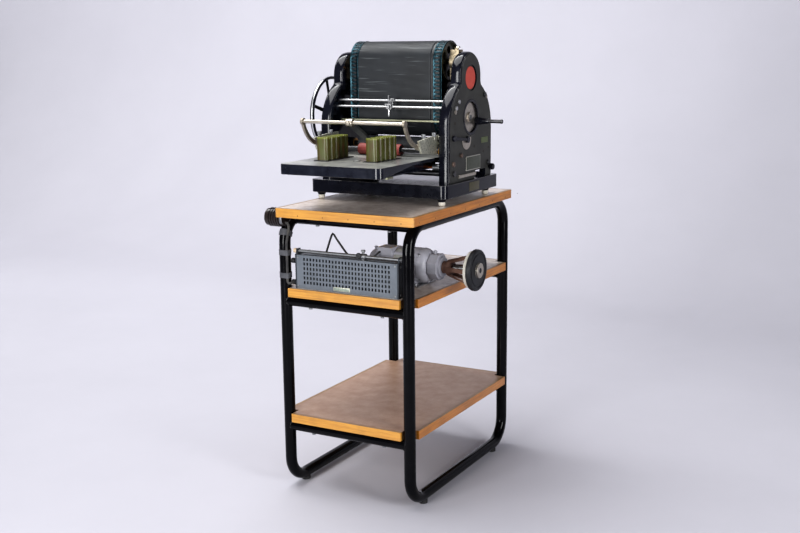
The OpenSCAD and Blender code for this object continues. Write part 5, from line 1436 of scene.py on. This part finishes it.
@dataclass
class Crank:
    """The crank: disc, bright hub plate with its nut, folding grip."""

    def build(self) -> None:
        """Soften the turned parts and put the nut on the shaft's end."""
        painted("crank_disc", 0.8, steps=3)
        painted("hub_plate", 0.4)
        painted("crank_grip", 0.4)
        x, y, z = MACHINE + (177.0, 0, 200)
        boss = [(-5.4, 12.0), (-5.4, 17.5), (-4.2, 17.5), (-3.6, 16.8)]
        boss += [(-3.6, 12.6), (-4.2, 12.0), (-5.4, 12.0)]
        make_piece("hub_boss_ring", [lathe(boss, (x, y, z), Axis.X, 48)], PLATED, "hub_plate")
        nut = HexBolt(8.6, 3.0, 0.1).shells((x - 4.4, y, z), Axis.X, 1, 20)[1:]
        nut += SlottedScrew(5.6, 1.4, 1.4).shells((x - 0.9, y, z), Axis.X, 1, 65)
        for a in (0.6, 2.7, 4.8):
            seat = (x - 5.2, y + 24 * math.cos(a), z + 24 * math.sin(a))
            nut += SlottedScrew(2.8, 1.4, 0.8).shells(seat, Axis.X, 1, a * 50)
        make_piece("hub_nut", nut, DULL_SCREW, "hub_plate")


@dataclass
class Flywheel:
    """The hand wheel: a slim oval rim on six tapering spokes."""

    axis: tuple[float, float] = (43.5, 920.0)
    radius: float = 96.0
    x0: float = -229.5
    x1: float = -217.0
    rim: float = 8.0
    spokes: int = 6
    turn_deg: float = 13.5

    def spoke(self, deg: float) -> Shell:
        """A spoke: an oval section that slims from the hub outwards and widens again where it meets the rim.

        Args:
            deg: its turn from upright.

        Returns:
            The spoke.
        """
        out = np.linspace(9, self.radius - self.rim / 2, 14)
        t = (out - 9) / (self.radius - 13)
        wide = 6.4 - 2.6 * t + 2.2 * np.exp(-((1 - t) * 14))
        cos, sin = ring(16)
        x, y, z = fanned(placed(Axis.X, 2.6 * sin, wide[:, None] * cos, out[:, None])).points.T
        c, s = math.cos(math.radians(deg)), math.sin(math.radians(deg))
        turned = np.stack([x, y * c - z * s, y * s + z * c], -1) + ((self.x0 + self.x1) / 2, *self.axis)
        return woven(turned.reshape(len(out) + 2, -1, 3))

    def build(self) -> None:
        """Turn rim and hub and set the spokes between them."""
        centre = (0, *self.axis)
        a, b = self.x0, self.x1
        mid, half = (a + b) / 2, (b - a) / 2
        cos, sin = ring(24)
        oval = np.stack([mid + half * cos, self.radius - self.rim / 2 + self.rim / 2 * sin], 1)
        hub = [(a - 2, 0), (a - 2, 13), (a, 16)]
        hub += [(b, 17), (b + 3, 15), (b + 18, 14.5), (b + 20, 13), (b + 20, 0)]
        shells = [lathe(oval, centre, Axis.X, 96), lathe(hub, centre, Axis.X, 48)]
        shells += [self.spoke(self.turn_deg + 360 / self.spokes * i) for i in range(self.spokes)]
        # A bright steel band round the rim's crown: a painted highlight along the rim.
        edge = ((-1.8, -1.2), (-1.8, -0.2), (-1.2, 0), (1.2, 0), (1.8, -0.2), (1.8, -1.2), (-1.8, -1.2))
        band = [(mid + off, self.radius + 0.25 + up) for off, up in edge]
        make_piece("wheel_rim_painted_highlight", [lathe(band, centre, Axis.X, 96)], BRIGHT_STEEL, "flywheel")
        make_piece("slim_hand_wheel", shells, CAST_ENAMEL, "flywheel", 40, ("flywheel",))


@dataclass
class FeedTable:
    """The feed table: worn grey top, navy skirt, rails and the copper shaft."""

    top_z: float = 830.0

    def top(self, places: Grid, normals: Grid) -> Grid:
        """Whether a face is the table's upper side."""
        return (normals[:, 2] > 0.9) & (places[:, 2] > self.top_z - 1)

    def collars(self, places: Grid, normals: Grid) -> Grid:
        """Whether a face is on a shaft's collar near either end."""
        return np.abs(np.abs(places[:, 0] - MACHINE[0]) - 139) < 11.5

    def build(self) -> None:
        """Dress top and skirt, and clip the hardware of the front corner on the skirt's lower edge."""
        # The table's broken edges take the lighter edge finish: wear and a painted highlight.
        painted("feed_table", 1.0, [(TABLE_TOP, self.top)], 3, worn=WORN_EDGE_HIGHLIGHT)
        painted("table_rails", 0.5)
        painted("table_shafts", 0.4, [(DULL_SCREW, self.collars)])
        x, y, z = MACHINE + (136, -337, 88)
        clip = block((x - 6, y - 4, z - 5), (x + 1.4, y + 22, z), 1.0)
        make_piece("table_corner_clip", [clip], GUIDE_BAR, "feed_table")
        button = raised(outline(9.0, 36), tuple(MACHINE + (3, -246, 111.4)), Axis.Z, 0.5, 0.2)
        make_piece("table_button", [button], PLATE_FACE, "feed_table")


@dataclass
class FeedBail:
    """The bail: white-worn rod, strap arms, ringed eye and a dark grooved finger."""

    rod: tuple[float, float] = (-259.0, 199.0)

    def finger(self, places: Grid, normals: Grid) -> Grid:
        """Whether a face belongs to the grooved finger."""
        off = places - MACHINE
        return (np.abs(off[:, 0] + 6) < 14) & (off[:, 1] > self.rod[0] + 6.5) & (off[:, 2] < self.rod[1] - 2)

    def arms(self, places: Grid, normals: Grid) -> Grid:
        """Whether a face belongs to a strap arm."""
        return np.abs(places[:, 0] - MACHINE[0]) > 133.2

    def build(self) -> None:
        """Dress rod, arms and finger."""
        painted("feed_bail", 0.6, [(WORN_STRAP, self.arms), (FINGER_PAINT, self.finger)])
        painted("bail_cheeks", 1.0, steps=3)
        knobs = []
        for side in (-1, 1):
            for y in (-180, -128):
                seat = tuple(MACHINE + (side * 142.3, y, 160.5))
                knobs += KnurledScrew(5.0, 8.2, 18).shells(seat, Axis.Z, 1)
        make_piece("cheek_thumb_screws", knobs, DULL_SCREW, "bail_cheeks")
        eye = tuple(MACHINE + (-6, self.rod[0] - 13.0, self.rod[1]))
        screw = SlottedScrew(4.4, 1.6, 1.1).shells(eye, Axis.Y, -1, 35)
        make_piece("eye_screw", screw, WORN_STRAP, "feed_bail")


@dataclass
class SideGuides:
    """The two ribbed olive guides on dark foot plates."""

    foot_top: float = 833.0

    def build(self) -> None:
        """Dress foot plates dark and the rest olive."""
        for node in ("left_side_guide", "right_side_guide"):
            painted(node, 0.9, [(BLACK_PLASTIC, lambda places, normals: places[:, 2] < self.foot_top)], 3)


@dataclass
class Fittings:
    """What the right face carries: round cap, bare plates, quadrant, studs, latch bar, lever and knob."""

    cap: tuple[float, float] = (0.0, 294.0)
    base_x: float = 187.5

    def build(self) -> None:
        """Dress each fitting with its own finish and lay faces on the bare plates."""

        def plate(y0: float, y1: float, z0: float, z1: float) -> Test:
            """A test for faces between limits on the Y and Z axes, from the foot of the frames."""
            low, high = MACHINE[1:] + (y0, z0 + 58), MACHINE[1:] + (y1, z1 + 58)
            return lambda places, normals: ((places[:, 1:] > low) & (places[:, 1:] < high)).all(1)

        rules = [
            (RED_ENAMEL, near(*self.cap, 30.0)),
            (PLATE_EDGE, plate(-30, 52, 13, 50)),
            (OLIVE_PLATE, plate(56, 96, 74, 90)),
            (RUSTY_STUD, near(-59, 112.5, 6.0)),
            (RUSTY_STUD, near(-99, 95, 7.0)),
        ]
        painted("face_fittings", 0.35, rules)
        painted("impression_lever", 0.8, steps=3)
        painted("clamp_knob", 0.6)
        x, y, z = MACHINE + (179.0, 0, 58)
        face = block((x - 0.4, y - 27, z + 16.2), (x + 0.25, y + 49, z + 46.8), 0.1)
        make_piece("frame_plate_face", [face], PLATE_DARK, "face_fittings")
        x = MACHINE[0] + self.base_x
        small = block((x - 0.5, y - 30, z - 35), (x + 0.5, y + 26, z - 13), 0.15)
        make_piece("base_side_plate", [small], BROWN_PLATE, "face_fittings")
        painted("tie_bars", 0.6)
        painted("guide_rods", 0.5, [(GUIDE_BAR, near(-62, 192, 5.4))])
        painted("rod_holder", 0.5)
        painted("drive_gear", 0.25, steps=1, crease_deg=40)


# Camera, floor and light.


@dataclass
class PhotoCamera:
    """The camera that took the photograph, solved from the stand's legs and shelves."""

    place_mm: tuple[float, float, float] = (1362.16, -2454.57, 1099.12)
    yaw_deg: float = -29.07
    pitch_deg: float = 11.17
    roll_deg: float = -0.6
    focal_px: float = 1135.33
    photo_width_px: float = 800.0
    sensor_mm: float = 36.0

    def build(self) -> None:
        """Make the camera and set it as the scene's."""
        yaw, pitch, roll = (math.radians(a) for a in (self.yaw_deg, self.pitch_deg, self.roll_deg))
        forward = Vector((math.sin(yaw) * math.cos(pitch), math.cos(yaw) * math.cos(pitch), -math.sin(pitch)))
        level = Vector((math.cos(yaw), -math.sin(yaw), 0))
        lift = level.cross(forward)
        right = math.cos(roll) * level + math.sin(roll) * lift
        up = -math.sin(roll) * level + math.cos(roll) * lift
        lens = bpy.data.cameras.new("photo_camera")
        lens.sensor_width = self.sensor_mm
        lens.lens = self.focal_px * self.sensor_mm / self.photo_width_px
        camera = bpy.data.objects.new("photo_camera", lens)
        turn = Matrix((right, up, -forward)).transposed().to_4x4()
        camera.matrix_world = Matrix.Translation(Vector(self.place_mm) * MM) @ turn
        bpy.context.scene.collection.objects.link(camera)
        bpy.context.scene.camera = camera


@dataclass
class Studio:
    """A pale floor that curves up into a backdrop, four soft lamps and dim light from all round."""

    floor_half_m: float = 6.0
    back_m: float = 1.9
    curve_m: float = 1.6
    height_m: float = 5.0
    colours: tuple[str, str] = ("#b2b1b9", "#b6b5bd")
    room: float = 0.16
    seen: float = 0.68

    def build(self) -> None:
        """Make the sweep, the lamps and the world."""
        self.sweep()
        self.lamp("left_soft_box", (-0.3, -2.9, 1.1), (0, 0, 0.9), (0.9, 1.9), 74.0)
        self.lamp("right_soft_box", (2.7, -1.05, 1.1), (0, 0, 0.9), (0.8, 1.9), 56.0)
        self.lamp("top_light", (-0.7, -0.4, 3.3), (-0.1, 0, 0.8), (2.2, 2.2), 78.0)
        self.lamp("backdrop_light", (-3.5, 0.2, 3.6), (-4.2, 3.2, 1.0), (6.0, 0.8), 215.0)
        self.air()

    def air(self) -> None:
        """Dim light from all round, behind which the camera sees the backdrop's colour go on."""
        world = bpy.data.worlds.new("studio_air")
        bpy.context.scene.world = world
        world.use_nodes = True
        tree = world.node_tree
        tree.nodes.clear()
        ray = add(tree, "LightPath", {}, "Is Camera Ray")
        dim = add(tree, "Background", {"Color": "#dfe0ea", "Strength": self.room})
        pale = add(tree, "Background", {"Color": "#e2e1ea", "Strength": self.seen})
        both = add(tree, "MixShader", {0: ray, 1: dim, 2: pale})
        add(tree, "OutputWorld", {"Surface": both})

    def sweep(self) -> None:
        """Carry the floor's line back and up in a quarter circle, straight on both sides of it."""
        angles = np.linspace(0, math.pi / 2, 25)
        bend = np.stack([self.back_m + self.curve_m * np.sin(angles), self.curve_m * (1 - np.cos(angles))], 1)
        line = np.vstack([[-self.floor_half_m, 0], bend, [self.back_m + self.curve_m, self.height_m]])
        wide = 2 * self.floor_half_m
        points = np.array([[x, y, z] for x in (-wide, wide) for y, z in line])
        count = len(line)
        quads = [(i, i + count, i + count + 1, i + 1) for i in range(count - 1)]
        mesh = bpy.data.meshes.new("studio_floor")
        mesh.from_pydata(points.tolist(), [], quads)
        mesh.shade_smooth()
        floor = bpy.data.objects.new("studio_floor", mesh)
        bpy.context.scene.collection.objects.link(floor)
        paper = Matte("studio_paper", *self.colours, rough=0.9, cloud_mm=900.0, grain=0.0, gloss=0.2)
        mesh.materials.append(paper.material())

    def lamp(self, name: str, place: tuple, aim: tuple, size: tuple, power: float) -> None:
        """Hang a rectangular soft lamp.

        Args:
            name: the lamp's name.
            place: where it hangs, in metres.
            aim: the point that it looks at, in metres.
            size: its width and height, in metres.
            power: its power, in watts.
        """
        light = bpy.data.lights.new(name, "AREA")
        light.shape = "RECTANGLE"
        light.size, light.size_y = size
        light.energy = power
        lamp = bpy.data.objects.new(name, light)
        lamp.location = place
        lamp.rotation_euler = (Vector(aim) - Vector(place)).to_track_quat("-Z", "Y").to_euler()
        bpy.context.scene.collection.objects.link(lamp)


def main() -> None:
    """Build the camera, the finishes, the pieces and the studio, in that order."""
    logging.basicConfig(level=logging.INFO, format="%(message)s")
    bpy.context.scene.view_settings.view_transform = "Standard"
    bpy.context.scene.view_settings.look = "Medium High Contrast"
    PhotoCamera().build()
    dress_nodes()
    parts = (
        Stand(), Shelving(), Motor(), Drive(), Resistor(), Inlet(), SideFrames(), Screen(),
        UpperBrackets(), Rollers(), Crank(), Flywheel(), FeedTable(), FeedBail(), SideGuides(), Fittings(),
    )
    for part in parts:
        part.build()
        log.info("%s is built", type(part).__name__)
    Studio().build()


if __name__ == "__main__":
    main()
